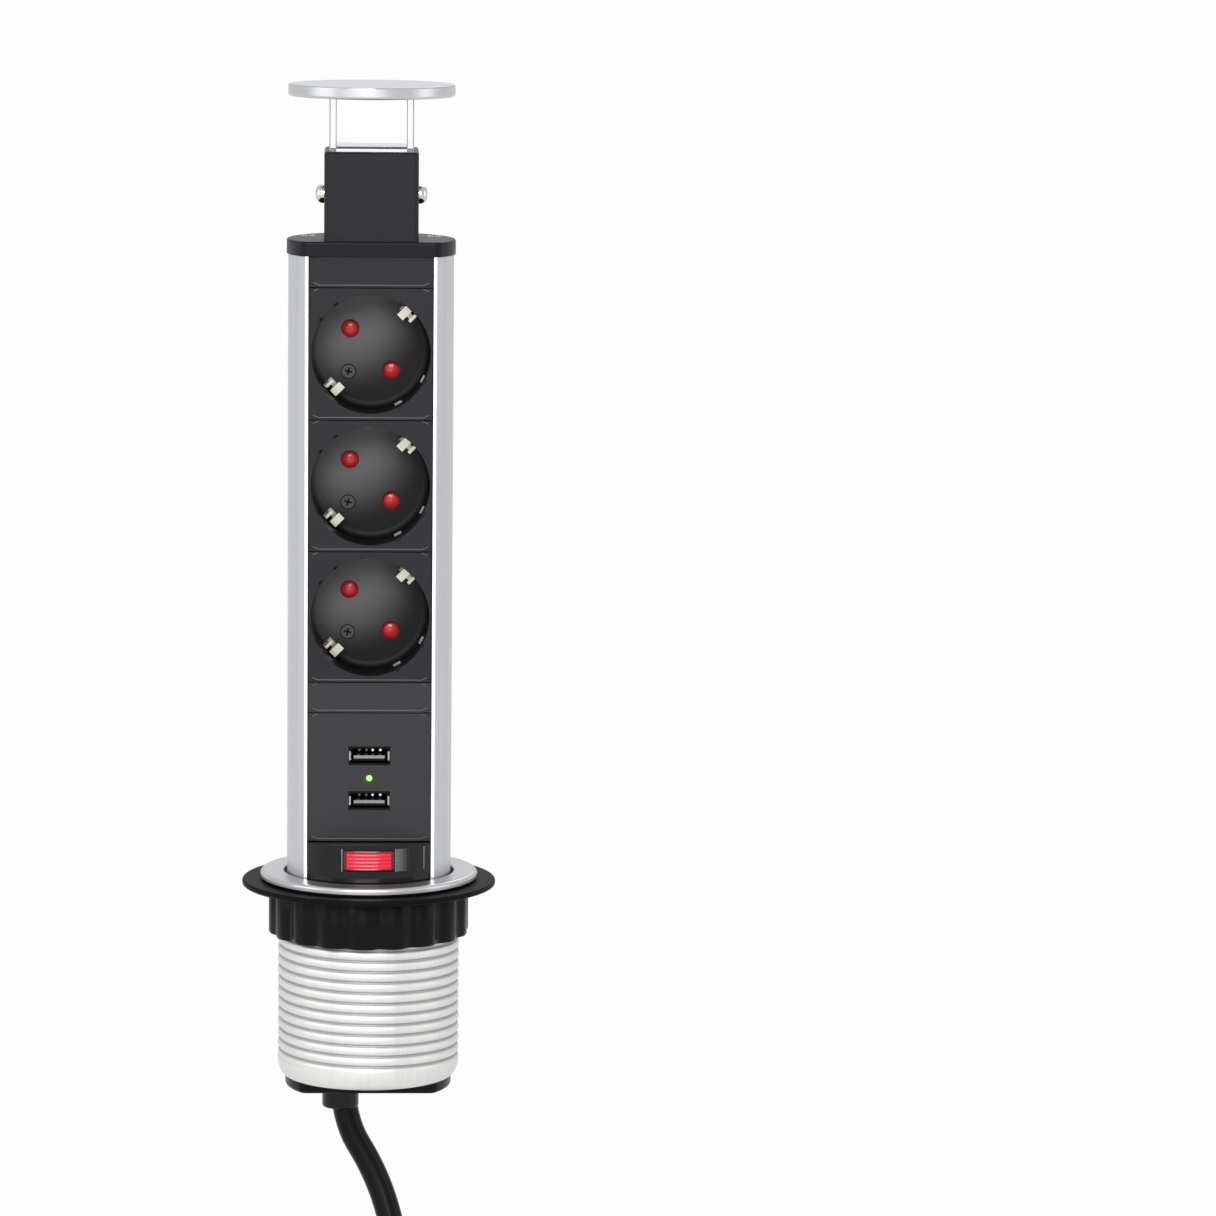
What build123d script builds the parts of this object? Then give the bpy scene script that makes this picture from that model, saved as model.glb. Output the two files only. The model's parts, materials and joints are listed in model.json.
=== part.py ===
from build123d import *
import math
import os

# Pop-up desk socket: an aluminium tower with three earthed sockets and a USB charger slides up
# and down in a threaded sleeve, which a nut clamps in a round hole through a desk top.
# Millimetres, +Z up, the sockets face -Y. The origin is the centre of the desk hole in the
# plane of the desk's top surface. Everything is drawn with the tower fully up and locked.

# Gaps and overruns
overrun = 2.0  # how far a cutting shape runs past the piece that it cuts
slide_gap = 0.15  # all round, between pieces that slide in one another
fit_gap = 0.1  # all round, between pieces that are pushed together
bearing_gap = 0.05  # radial, between a pin and its bore
seat_gap = 0.3  # between a moving piece and the stop that it comes to
press_seat_gap = 0.15  # between the seal and the washer below it

# Flange and its seal
flange_reach = 5.75  # beyond the sleeve's crests
flange_thickness = 2.0
flange_edge_radius = 1.1
flange_mouth_bevel = 0.3
flange_rebate_depth = 0.9
seal_thickness = 0.8
seal_inset = 1.6

# Threaded sleeve
sleeve_wall = 1.95  # from the bore to the crests
sleeve_depth = 65.5  # below the desk's top surface
thread_pitch = 3.5
thread_depth = 0.75
thread_mouth = 2.2
thread_floor = 0.5
thread_start_height = 6.1  # above the sleeve's lower end
thread_length = 57.0
thread_run_out = 0.4  # how far the thread's cutter stands out of the crest
sleeve_bevel_height = 4.5
sleeve_rim = 0.7  # wall left at the lower end
lip_height = 3.0

# Liner that guides the tower
liner_wall = 0.8
key_depth = 0.5
key_width = 0.6

# Washer and nut below the desk
washer_band = 11.45  # from its bore to its edge
washer_thickness = 1.9
washer_edge_radius = 0.7
washer_bore_gap = 0.3
nut_band = 3.1  # from the sleeve's crests to the nut's own
nut_height = 16.1
nut_flute_count = 18
nut_flute_radius = 5.0
nut_flute_depth = 1.6
nut_crest_angle = 266.5  # degrees round from +X

# Tower extrusion
tower_front = 16.6  # from the axis to the flat front
lip_width = 0.9  # of the flat front, beside the opening
tower_wall = 1.7
ledge_depth = 5.1  # from the flat front to the back of the lips
boss_offset = 0.3  # of the boss's centre, outside the opening's side
boss_y = 11.0
boss_radius = 2.3
boss_core_radius = 1.25
groove_width = 0.9
groove_depth = 0.65
groove_angles = (165.0, 185.0, 355.0, 15.0)

# Heights of what the tower holds, stacked from the release housing up
release_sill = 8.0  # the release housing's lower end, below the desk's top surface
blank_height = 10.0
module_margin = 2.1  # above and below a recess
module_count = 3
usb_height = 42.4
release_height = 22.9
tower_foot_gap = 0.3
joint_gap = 0.3  # between one panel and the next

# Collar and stem housing
collar_overhang = 0.55  # beyond the extrusion
collar_thickness = 4.8
collar_edge_radius = 0.7
front_corner_radius = 3.0  # of the collar's and the foot cap's front corners
housing_wall = 1.5
housing_height = 28.7
housing_corner_radius = 1.5
housing_top_bevel = 0.5
stem_size = 27.1
stem_wall = 2.2
stem_floor = 1.6
cap_overhang = 0.15  # beyond the extrusion
cap_thickness = 3.9
cap_lower_edge_radius = 1.0
cap_upper_edge_radius = 0.5
cap_rise = 17.3  # clear stem between the housing and the cap
cap_travel = 9.6
side_screw_height = 14.3  # above the collar
side_screw_head_radius = 3.05
side_screw_head_height = 2.9
side_screw_dome_radius = 2.2
side_screw_radius = 1.5
side_nut_size = 5.0
side_nut_thickness = 2.4

# Slider below the stem, its spring and the bulkhead that the spring stands on
slider_flange = 1.6
slider_body_half_width = 10.4
slider_foot_height = 7.0
spring_radius = 5.5
spring_wire_radius = 0.5
spring_turns = 6.5
spring_pocket_radius = 7.0
spring_pocket_depth = 10.0
bulkhead_thickness = 2.0
bulkhead_rise = 0.5  # above the joint below it

# Panels and their clips
panel_recess = 0.3
panel_side_margin = 0.6  # beside a recess
panel_side_gap = 0.3  # to the opening's side
panel_thickness = 2.3
web_thickness = 1.5
ear_reach = 1.7
ear_thickness = 1.6
ear_gap = 0.2
wedge_width = 3.0
wedge_height = 1.0
wedge_depth = 0.5

# Socket inserts
recess_radius = 19.3
recess_depth = 17.5
recess_floor = 1.2
recess_round = 2.5  # radius between the recess's wall and its floor
pin_spacing = 19.0
pin_hole_radius = 3.0
pin_angle = 135.0  # degrees round from +X, seen from the front
chamber_radius = 14.1
chamber_wall = 0.9
rail_setback = 4.55  # from the extrusion's inner face at the back to the rails' front
earth_slot_width = 5.5
earth_slot_inner_radius = 15.6
guide_notch_angles = (125.0, 145.0, 298.0, 332.0)
guide_notch_width = 1.6
guide_notch_depth = 1.2
pivot_radius = 1.5
pivot_length = 4.6  # behind the recess floor
insert_screw_distance = 10.3
insert_screw_angle = 225.0
insert_screw_head_radius = 2.3
insert_screw_radius = 1.4
insert_screw_length = 10.0
countersink_angle = 90.0

# Bodies behind the recesses
body_boss_radius = 3.2
body_boss_length = 11.0
body_web_width = 5.0
body_web_depth = 3.4  # behind the recess floor
body_web_thickness = 2.0

# Shutters
shutter_half_width = 3.2
shutter_thickness = 1.4
dome_radius = 3.1
dome_height = 1.2

# Contacts
rail_half_width = 3.3
rail_thickness = 0.7
contact_gap = 4.5
contact_leaf = 0.6
contact_width = 4.0
contact_start = 4.6  # behind the recess floor
rail_end_margin = 4.0  # above the highest socket's contact
rail_tail = 15.0  # below the lowest socket's centre
carrier_gap = 0.1
earth_ring_width = 3.2
earth_strap_thickness = 0.8
earth_leg_width = 4.9  # over both prongs
earth_leg_thickness = 0.7
earth_leg_rise = 6.6  # above the recess floor
broad_prong_width = 2.6
narrow_prong_width = 1.0
broad_prong_reach = 3.4  # inward from the leg
narrow_prong_reach = 2.2

# Charger
usb_port_drops = (14.1, 28.9)  # below the panel's upper edge
led_drop = 21.5
usb_window_width = 13.5
usb_window_height = 6.1
usb_shell_width = 13.1
usb_shell_height = 5.7
usb_shell_wall = 0.35
usb_shell_length = 14.2
usb_shell_proud = 0.1
usb_tongue_width = 10.6
usb_tongue_thickness = 1.6
usb_tongue_setback = 0.9
usb_tongue_drop = 0.9
usb_contact_width = 1.1
usb_contact_thickness = 0.25
usb_contact_pitch = 2.3
usb_contact_count = 4
led_radius = 1.2
led_dome_radius = 0.4
board_width = 33.0
board_thickness = 1.6
board_margin = 3.0
transformer_width = 15.0
transformer_height = 14.0
transformer_depth = 11.5
post_radius = 1.8
post_margin = 3.4

# Release button and its housing
release_inset = 0.15  # from the extrusion's outer face
release_wall = 1.8
release_plate = 1.0
window_width = 16.3
window_height = 7.0
window_drop = 4.7  # from the housing's top to the window's centre
button_width = 15.8
button_height = 6.5
button_recess = 0.2
button_thickness = 3.7
button_flange_width = 18.0
button_flange_height = 9.0
button_flange_thickness = 1.5
button_travel = 2.2
latch_width = 7.6
latch_drop = 13.0  # from the window's centre to the tooth's centre
latch_tooth_height = 2.0
latch_slot_gap = 0.3
release_spring_radius = 2.6
release_spring_wire_radius = 0.4
release_spring_turns = 4.5
release_peg_radius = 1.8
release_peg_length = 4.0

# Lower end of the tower, gland and wires
foot_cap_overhang = 0.5  # beyond the extrusion
foot_cap_thickness = 3.5
foot_cap_edge_radius = 1.2
spigot_height = 4.0
spigot_wall = 1.6
screw_head_radius = 2.4
screw_length = 11.0
gland_x = -9.1
gland_radius = 6.05
gland_length = 7.8
gland_edge_radius = 0.9
gland_mouth_radius = 5.05
gland_neck_radius = 5.6
gland_neck_length = 9.5
gland_nut_radius = 8.0
gland_nut_height = 4.0
core_radius = 1.2
core_ring_radius = 1.5  # of the three cores' centres at the sheath's end
core_straight = 8.0
core_step = 5.0
core_bend_height = 60.0

# Mains lead: the points of its free stretch were chosen by hand along the visible curve
cord_radius = 4.2
cord_route = (
    (-9.1, 0.0, -58.0),
    (-9.1, 0.0, -80.1),
    (2.9, -2.8, -99.0),
    (9.2, -8.5, -119.0),
    (12.9, -12.9, -140.5),
    (13.9, -13.1, -165.0),
    (13.8, -13.0, -198.5),
    (13.8, -13.0, -228.5),
)
cord_radius_share = 0.45  # of the shorter run, over the tangent of half the turn

# Hank: the spare length folded in line below the view and tied at its waist
hank_x = 5.0
fold_radius = 25.2
waist_half_width = 8.8
hank_half_run = 65.9
hank_step = 9.6
hank_loops = 3
hank_sample = 2.0
tie_height = 6.0
tie_thickness = 1.2

# Plug on the far end
plug_y = 34.5
plug_radius = 18.5
plug_length = 38.0
plug_neck_length = 22.0
plug_neck_top_radius = 5.4
plug_neck_base_radius = 7.5
plug_edge_radius = 3.0
plug_flat_half_width = 16.6
plug_pin_radius = 2.4
plug_pin_length = 19.0
plug_pin_tip_radius = 1.2
plug_contact_width = 5.0
plug_contact_thickness = 0.8
plug_contact_length = 17.0

# Sizes and places worked out from those above
panel_half_width = recess_radius + panel_side_margin
module_height = 2 * (recess_radius + module_margin)
opening_half_width = panel_half_width + panel_side_gap
tower_radius = math.hypot(opening_half_width + lip_width, tower_front)
boss_x = opening_half_width + boss_offset
collar_radius = tower_radius + collar_overhang
cap_radius = tower_radius + cap_overhang
foot_cap_radius = tower_radius + foot_cap_overhang
release_outer_radius = tower_radius - release_inset
lip_radius = tower_radius + slide_gap
sleeve_bore_radius = lip_radius + liner_wall + fit_gap
crest_radius = sleeve_bore_radius + sleeve_wall
flange_radius = crest_radius + flange_reach
washer_bore_radius = crest_radius + washer_bore_gap
nut_radius = crest_radius + nut_band

flange_bottom_z = seal_thickness
flange_top_z = flange_bottom_z + flange_thickness
sleeve_top_z = flange_bottom_z + flange_rebate_depth
sleeve_bottom_z = -sleeve_depth
lip_top_z = sleeve_bottom_z + lip_height
washer_top_z = -press_seat_gap
washer_bottom_z = washer_top_z - washer_thickness
nut_top_z = washer_bottom_z - press_seat_gap
nut_bottom_z = nut_top_z - nut_height

inner_radius = tower_radius - tower_wall
panel_face = tower_front - panel_recess
release_bottom_z = -release_sill
release_top_z = release_bottom_z + release_height
usb_top_z = release_top_z + usb_height
modules_bottom_z = usb_top_z + blank_height
modules_top_z = modules_bottom_z + module_count * module_height
collar_bottom_height = modules_top_z + blank_height
collar_top_z = collar_bottom_height + collar_thickness
housing_top_z = collar_top_z + housing_height
cap_bottom_z = housing_top_z + cap_rise
cap_top_z = cap_bottom_z + cap_thickness
foot_cap_top_z = sleeve_bottom_z - tower_foot_gap
foot_cap_bottom_z = foot_cap_top_z - foot_cap_thickness
gland_bottom_z = foot_cap_bottom_z - gland_length

# Travel that brings the pressed cap level with the flange, and the shoulder that ends it
tower_travel = cap_top_z - cap_travel - flange_top_z
liner_top_z = collar_bottom_height - tower_travel - seat_gap

stem_bore = stem_size + 2 * slide_gap
housing_size = stem_bore + 2 * housing_wall
side_screw_z = collar_top_z + side_screw_height
stem_bottom_z = housing_top_z - fit_gap
slider_foot_top_z = side_screw_z - side_nut_size / 2 - seat_gap
slider_bottom_z = slider_foot_top_z - slider_foot_height
bulkhead_bottom_z = modules_top_z + bulkhead_rise
bulkhead_top_z = bulkhead_bottom_z + bulkhead_thickness

floor_y = -panel_face + recess_depth
floor_back_y = floor_y + recess_floor
rail_y = inner_radius - rail_setback
chamber_depth = rail_y - floor_back_y
pin_reach = pin_spacing / 2
pin_offset = pin_reach * math.cos(math.radians(180 - pin_angle))
dome_front_y = floor_back_y + seat_gap
shutter_front_y = dome_front_y + dome_height
module_centres = [modules_top_z - module_height * (index + 0.5) for index in range(module_count)]
rail_low_z = module_centres[-1] - rail_tail

waist_z = cord_route[-1][2] - 2 * cord_radius
fold_top_z = waist_z + hank_half_run
fold_bottom_z = waist_z - hank_half_run
plug_top_z = waist_z - 2 * cord_radius
plug_face_z = plug_top_z - plug_neck_length - plug_length


def front_plane(height, depth):
    """Plane that faces the user, at a height, a depth behind the panels' face."""
    return Plane(origin=(0, -panel_face + depth, height), x_dir=(1, 0, 0), z_dir=(0, -1, 0))


def d_outline(radius, front):
    """Circle cut straight across at the front, added to the sketch in hand."""
    Circle(radius)
    with Locations((0, -front - radius)):
        Rectangle(2 * radius, 2 * radius, mode=Mode.SUBTRACT)


def polar(radius, angle):
    """Point on a circle, from its radius and its angle in degrees."""
    return (radius * math.cos(math.radians(angle)), radius * math.sin(math.radians(angle)))


def clips(height, z_low):
    """Webs behind a panel's sides and the ears that catch behind the tower's lips."""
    ear_front = -tower_front + ledge_depth + ear_gap
    web_back = ear_front + ear_thickness
    for side in (-1, 1):
        with BuildSketch(Plane.XY.offset(z_low)) as clip:
            web_x = side * (panel_half_width - web_thickness / 2)
            with Locations((web_x, (web_back - panel_face) / 2)):
                Rectangle(web_thickness, web_back + panel_face)
            ear_x = side * (panel_half_width - web_thickness / 2 + ear_reach / 2)
            with Locations((ear_x, ear_front + ear_thickness / 2)):
                Rectangle(web_thickness + ear_reach, ear_thickness)
        extrude(clip.sketch, amount=height)


def corner_wedges(z_low, z_high):
    """Small slopes at a panel's four corners, cut into its face."""
    for side in (-1, 1):
        for edge, turn in ((z_low, 1), (z_high, -1)):
            with BuildSketch(front_plane(edge, 0)) as wedge:
                with BuildLine():
                    Polyline(
                        (side * (panel_half_width + overrun), 0),
                        (side * (panel_half_width - wedge_width), 0),
                        (side * (panel_half_width - wedge_width + wedge_height), turn * wedge_height),
                        (side * (panel_half_width + overrun), turn * wedge_height),
                        close=True,
                    )
                make_face()
            extrude(wedge.sketch, amount=-wedge_depth, mode=Mode.SUBTRACT)


def blank_panel(name, z_low, z_high):
    """Plain panel that closes the tower's front between two heights."""
    height = z_high - z_low - joint_gap
    with BuildPart() as panel:
        with BuildSketch(front_plane((z_low + z_high) / 2, 0)):
            Rectangle(2 * panel_half_width, height)
        extrude(amount=-panel_thickness)
        clips(height, z_low + joint_gap / 2)
        corner_wedges(z_low + joint_gap / 2, z_high - joint_gap / 2)
    panel.part.label = name
    return panel.part


def countersunk_screw(head, head_radius, shank_radius, length):
    """Countersunk screw behind a plane that faces its driver, added to the part in hand."""
    with BuildSketch(head) as top:
        Circle(head_radius)
    with BuildSketch(head.offset(shank_radius - head_radius)) as neck:
        Circle(shank_radius)
    loft([top.sketch, neck.sketch])
    with BuildSketch(head) as shank:
        Circle(shank_radius)
    extrude(shank.sketch, amount=-length)


def corner_radii(points):
    """Radius for each corner of a route, as large as its two runs allow."""
    radii = []
    for before, here, after in zip(points, points[1:], points[2:]):
        run_in = Vector(*here) - Vector(*before)
        run_out = Vector(*after) - Vector(*here)
        half_turn = math.radians(run_in.get_angle(run_out)) / 2
        shorter = min(run_in.length, run_out.length)
        radii.append(cord_radius_share * shorter / math.tan(half_turn))
    return radii


def round_wire(name, points, radius):
    """Round wire along straight runs joined by tangent arcs."""
    with BuildPart() as wire:
        with BuildLine() as path:
            FilletPolyline(*points, radius=corner_radii(points))
        with BuildSketch(Plane(origin=path.line @ 0, z_dir=path.line % 0)):
            Circle(radius)
        sweep(path=path.line)
    wire.part.label = name
    return wire.part


def coil_spring(name, start, direction, length, coil_radius, wire_radius, turns):
    """Open coil spring whose first turn starts on a plane and whose last ends on another."""
    with BuildPart() as coil:
        rise = length - 2 * wire_radius
        base = Vector(*start) + Vector(*direction) * wire_radius
        with BuildLine() as path:
            Helix(rise / turns, rise, coil_radius, center=base, direction=direction)
        with BuildSketch(Plane(origin=path.line @ 0, z_dir=path.line % 0)):
            Circle(wire_radius)
        sweep(path=path.line, is_frenet=True)
    coil.part.label = name
    return coil.part


# Root: what stays fixed in the desk

with BuildPart() as flange_ring:
    with BuildSketch(Plane.XZ):
        with BuildLine():
            Polyline(
                (sleeve_bore_radius, flange_top_z),
                (flange_radius, flange_top_z),
                (flange_radius, flange_bottom_z),
                (crest_radius + fit_gap, flange_bottom_z),
                (crest_radius + fit_gap, sleeve_top_z),
                (sleeve_bore_radius, sleeve_top_z),
                close=True,
            )
        make_face()
    revolve(axis=Axis.Z)
    top_edges = flange_ring.edges().filter_by(GeomType.CIRCLE).group_by(Axis.Z)[-1]
    fillet(top_edges.sort_by(SortBy.RADIUS)[-1], flange_edge_radius)
    mouth = flange_ring.edges().filter_by(GeomType.CIRCLE).group_by(Axis.Z)[-1]
    chamfer(mouth.sort_by(SortBy.RADIUS)[0], flange_mouth_bevel)
flange_ring.part.label = "flange_ring"

with BuildPart() as seal_ring:
    with BuildSketch(Plane.XY):
        Circle(flange_radius - seal_inset)
        Circle(crest_radius + slide_gap, mode=Mode.SUBTRACT)
    extrude(amount=seal_thickness)
seal_ring.part.label = "seal_ring"

with BuildPart() as threaded_sleeve:
    with BuildSketch(Plane.XZ):
        with BuildLine():
            Polyline(
                (sleeve_bore_radius, sleeve_top_z),
                (crest_radius, sleeve_top_z),
                (crest_radius, sleeve_bottom_z + sleeve_bevel_height),
                (lip_radius + sleeve_rim, sleeve_bottom_z),
                (lip_radius, sleeve_bottom_z),
                (lip_radius, lip_top_z),
                (sleeve_bore_radius, lip_top_z),
                close=True,
            )
        make_face()
    revolve(axis=Axis.Z)
    with BuildLine() as thread_path:
        Helix(
            thread_pitch,
            thread_length,
            crest_radius,
            center=(0, 0, sleeve_bottom_z + thread_start_height),
            lefthand=True,
        )
    with BuildSketch(Plane(thread_path.line @ 0, x_dir=(1, 0, 0), z_dir=thread_path.line % 0)):
        with BuildLine():
            Polyline(
                (-thread_depth, -thread_floor / 2),
                (thread_run_out, -thread_mouth / 2),
                (thread_run_out, thread_mouth / 2),
                (-thread_depth, thread_floor / 2),
                close=True,
            )
        make_face()
    sweep(path=thread_path.line, is_frenet=True, mode=Mode.SUBTRACT)
threaded_sleeve.part.label = "threaded_sleeve"

with BuildPart() as guide_liner:
    liner_outer_radius = sleeve_bore_radius - fit_gap
    liner_inner_radius = liner_outer_radius - liner_wall
    with BuildSketch(Plane.XY.offset(lip_top_z)):
        Circle(liner_outer_radius)
        Circle(liner_inner_radius, mode=Mode.SUBTRACT)
        for angle in groove_angles:
            key_reach = liner_wall / 2 + key_depth
            x, y = polar(liner_inner_radius - key_depth + key_reach / 2, angle)
            with Locations(Location((x, y, 0), (0, 0, angle))):
                Rectangle(key_reach, key_width)
    extrude(amount=liner_top_z - lip_top_z)
guide_liner.part.label = "guide_liner"

# Washer and nut below the desk

with BuildPart() as clamp_washer:
    with BuildSketch(Plane.XY.offset(washer_bottom_z)):
        Circle(washer_bore_radius + washer_band)
        Circle(washer_bore_radius, mode=Mode.SUBTRACT)
    extrude(amount=washer_thickness)
    outer_edges = clamp_washer.edges().filter_by(GeomType.CIRCLE).sort_by(SortBy.RADIUS)[-2:]
    fillet(outer_edges, washer_edge_radius)
clamp_washer.part.label = "clamp_washer"

with BuildPart() as clamp_nut:
    with BuildSketch(Plane.XY.offset(nut_bottom_z)):
        Circle(nut_radius)
        flute_angle = nut_crest_angle + 180 / nut_flute_count
        flute_centre = nut_radius + nut_flute_radius - nut_flute_depth
        with PolarLocations(flute_centre, nut_flute_count, start_angle=flute_angle):
            Circle(nut_flute_radius, mode=Mode.SUBTRACT)
        Circle(crest_radius + slide_gap, mode=Mode.SUBTRACT)
    extrude(amount=nut_height)
clamp_nut.part.label = "clamp_nut"

# Tower: extrusion, collar and stem housing

with BuildSketch() as tower_cavity:
    d_outline(inner_radius, tower_front - ledge_depth)
    with Locations((0, -tower_front + ledge_depth / 2)):
        Rectangle(2 * opening_half_width, ledge_depth)
    with Locations((0, -tower_front - overrun / 2)):
        Rectangle(2 * opening_half_width, overrun)

with BuildPart() as tower_profile:
    with BuildSketch(Plane.XY.offset(foot_cap_top_z)):
        d_outline(tower_radius, tower_front)
        add(tower_cavity.sketch, mode=Mode.SUBTRACT)
        with Locations((-boss_x, boss_y), (boss_x, boss_y)):
            Circle(boss_radius)
            Circle(boss_core_radius, mode=Mode.SUBTRACT)
        for angle in groove_angles:
            groove_reach = groove_depth + overrun
            x, y = polar(tower_radius - groove_depth + groove_reach / 2, angle)
            with Locations(Location((x, y, 0), (0, 0, angle))):
                Rectangle(groove_reach, groove_width, mode=Mode.SUBTRACT)
    extrude(amount=collar_bottom_height - foot_cap_top_z)
tower_profile.part.label = "tower_profile"

with BuildPart() as top_collar:
    with BuildSketch(Plane.XY.offset(collar_bottom_height)) as collar_plan:
        d_outline(collar_radius, tower_front)
        fillet(collar_plan.vertices().group_by(Axis.Y)[0], front_corner_radius)
        Rectangle(stem_bore, stem_bore, mode=Mode.SUBTRACT)
    extrude(amount=collar_thickness)
    rim = top_collar.faces().sort_by(Axis.Z)[-1].outer_wire().edges()
    fillet(rim, collar_edge_radius)
    with Locations((-boss_x, boss_y, collar_top_z), (boss_x, boss_y, collar_top_z)):
        CounterSinkHole(
            boss_core_radius + fit_gap,
            screw_head_radius,
            depth=collar_thickness,
            counter_sink_angle=countersink_angle,
        )
top_collar.part.label = "top_collar"

with BuildPart() as stem_housing:
    with BuildSketch(Plane.XY.offset(collar_top_z)):
        RectangleRounded(housing_size, housing_size, housing_corner_radius)
    extrude(amount=housing_height)
    chamfer(stem_housing.faces().sort_by(Axis.Z)[-1].edges(), housing_top_bevel)
    with BuildSketch(Plane.XY.offset(collar_top_z)):
        Rectangle(stem_bore, stem_bore)
    extrude(amount=housing_height, mode=Mode.SUBTRACT)
    with Locations(Location((0, 0, side_screw_z), (0, 90, 0))):
        Cylinder(side_screw_radius + fit_gap, housing_size + overrun, mode=Mode.SUBTRACT)
stem_housing.part.label = "stem_housing"

with BuildPart() as stem_screws:
    for side in (-1, 1):
        outside = Plane(origin=(side * housing_size / 2, 0, side_screw_z), z_dir=(side, 0, 0))
        with BuildSketch(outside):
            Circle(side_screw_head_radius)
        extrude(amount=side_screw_head_height)
        head_end = stem_screws.faces().filter_by(Axis.X).sort_by(Axis.X)[-1 if side > 0 else 0]
        fillet(head_end.edges(), side_screw_dome_radius)
        shank_length = (housing_size - stem_bore) / 2 + side_nut_thickness
        with BuildSketch(outside):
            Circle(side_screw_radius)
        extrude(amount=-shank_length)
stem_screws.part.label = "stem_screws"

with BuildPart() as stem_nuts:
    for side in (-1, 1):
        inside = Plane(origin=(side * stem_bore / 2, 0, side_screw_z), z_dir=(-side, 0, 0))
        with BuildSketch(inside):
            Rectangle(side_nut_size, side_nut_size)
            Circle(side_screw_radius + bearing_gap, mode=Mode.SUBTRACT)
        extrude(amount=side_nut_thickness)
stem_nuts.part.label = "stem_nuts"

with BuildPart() as spring_bulkhead:
    with BuildSketch(Plane.XY.offset(bulkhead_bottom_z)):
        d_outline(inner_radius - fit_gap, tower_front - ledge_depth - ear_thickness - 2 * ear_gap)
        with Locations((-boss_x, boss_y), (boss_x, boss_y)):
            Circle(boss_radius + fit_gap, mode=Mode.SUBTRACT)
    extrude(amount=bulkhead_thickness)
spring_bulkhead.part.label = "spring_bulkhead"

# Cap, clear stem and slider

with BuildPart() as cap_disc:
    with BuildSketch(Plane.XY.offset(cap_bottom_z)):
        Circle(cap_radius)
    extrude(amount=cap_thickness)
    fillet(cap_disc.edges().sort_by(Axis.Z)[0], cap_lower_edge_radius)
    fillet(cap_disc.edges().sort_by(Axis.Z)[-1], cap_upper_edge_radius)
cap_disc.part.label = "cap_disc"

with BuildPart() as clear_stem:
    with BuildSketch(Plane.XY.offset(stem_bottom_z)):
        Rectangle(stem_size, stem_size)
    extrude(amount=cap_bottom_z - stem_bottom_z)
    hollow_size = stem_size - 2 * stem_wall
    with BuildSketch(Plane.XY.offset(stem_bottom_z + stem_floor)):
        Rectangle(hollow_size, hollow_size)
    extrude(amount=cap_bottom_z - stem_bottom_z - stem_floor, mode=Mode.SUBTRACT)
clear_stem.part.label = "clear_stem"

with BuildPart() as stem_slider:
    with BuildSketch(Plane.XY.offset(slider_bottom_z)):
        Rectangle(stem_size, stem_size)
    extrude(amount=slider_foot_height)
    with BuildSketch(Plane.XY.offset(slider_bottom_z)):
        Rectangle(2 * slider_body_half_width, stem_size)
    extrude(amount=stem_bottom_z - slider_bottom_z)
    with BuildSketch(Plane.XY.offset(stem_bottom_z - slider_flange)):
        Rectangle(stem_size, stem_size)
    extrude(amount=slider_flange)
    with BuildSketch(Plane.XY.offset(slider_bottom_z)):
        Circle(spring_pocket_radius)
    extrude(amount=spring_pocket_depth, mode=Mode.SUBTRACT)
stem_slider.part.label = "stem_slider"

cap_spring = coil_spring(
    "cap_spring",
    (0, 0, bulkhead_top_z),
    (0, 0, 1),
    slider_bottom_z + spring_pocket_depth - bulkhead_top_z,
    spring_radius,
    spring_wire_radius,
    spring_turns,
)

# Panels

blank_panel_top = blank_panel("blank_panel_top", modules_top_z, collar_bottom_height)
blank_panel_lower = blank_panel("blank_panel_lower", usb_top_z, modules_bottom_z)
foot_panel = blank_panel("foot_panel", foot_cap_top_z, release_bottom_z)


with BuildPart() as recess_tool:
    with BuildSketch(front_plane(0, -overrun)):
        Circle(recess_radius)
    extrude(amount=-(overrun + recess_depth))
    fillet(recess_tool.edges().sort_by(Axis.Y)[-1], recess_round)


def socket_insert(name, centre_z):
    """Face and recess of one socket, with its pin holes, earth slots and pivot stud."""
    height = module_height - joint_gap
    low_z = centre_z - height / 2
    with BuildPart() as insert:
        with BuildSketch(front_plane(centre_z, 0)):
            Rectangle(2 * panel_half_width, height)
        extrude(amount=-panel_thickness)
        clips(height, low_z)
        with BuildSketch(front_plane(centre_z, 0)):
            Circle(panel_half_width)
        extrude(amount=-(recess_depth + recess_floor))
        with Locations((0, 0, centre_z)):
            add(recess_tool.part, mode=Mode.SUBTRACT)
        with BuildSketch(front_plane(centre_z, recess_depth)):
            Circle(pivot_radius)
        extrude(amount=-(recess_floor + pivot_length))
        with BuildSketch(front_plane(centre_z, recess_depth)):
            with PolarLocations(pin_reach, 2, start_angle=pin_angle):
                Circle(pin_hole_radius)
        extrude(amount=-recess_floor, mode=Mode.SUBTRACT)
        with BuildSketch(front_plane(centre_z, recess_depth - recess_round)):
            slot_reach = recess_radius - earth_slot_inner_radius
            slot_middle = (recess_radius + earth_slot_inner_radius) / 2
            with PolarLocations(slot_middle, 2, start_angle=pin_angle - 90):
                Rectangle(slot_reach, earth_slot_width)
        extrude(amount=-(recess_round + recess_floor), mode=Mode.SUBTRACT)
        with BuildSketch(front_plane(centre_z, 0)):
            for angle in guide_notch_angles:
                x, z = polar(recess_radius, angle)
                with Locations(Location((x, z, 0), (0, 0, angle))):
                    Rectangle(guide_notch_depth, guide_notch_width)
        extrude(amount=-guide_notch_depth, mode=Mode.SUBTRACT)
        screw_place = polar(insert_screw_distance, insert_screw_angle)
        with Locations(front_plane(centre_z, recess_depth)):
            with Locations(screw_place):
                CounterSinkHole(
                    insert_screw_radius + fit_gap,
                    insert_screw_head_radius,
                    depth=recess_floor,
                    counter_sink_angle=countersink_angle,
                )
        corner_wedges(low_z, low_z + height)
    insert.part.label = name
    return insert.part


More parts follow.
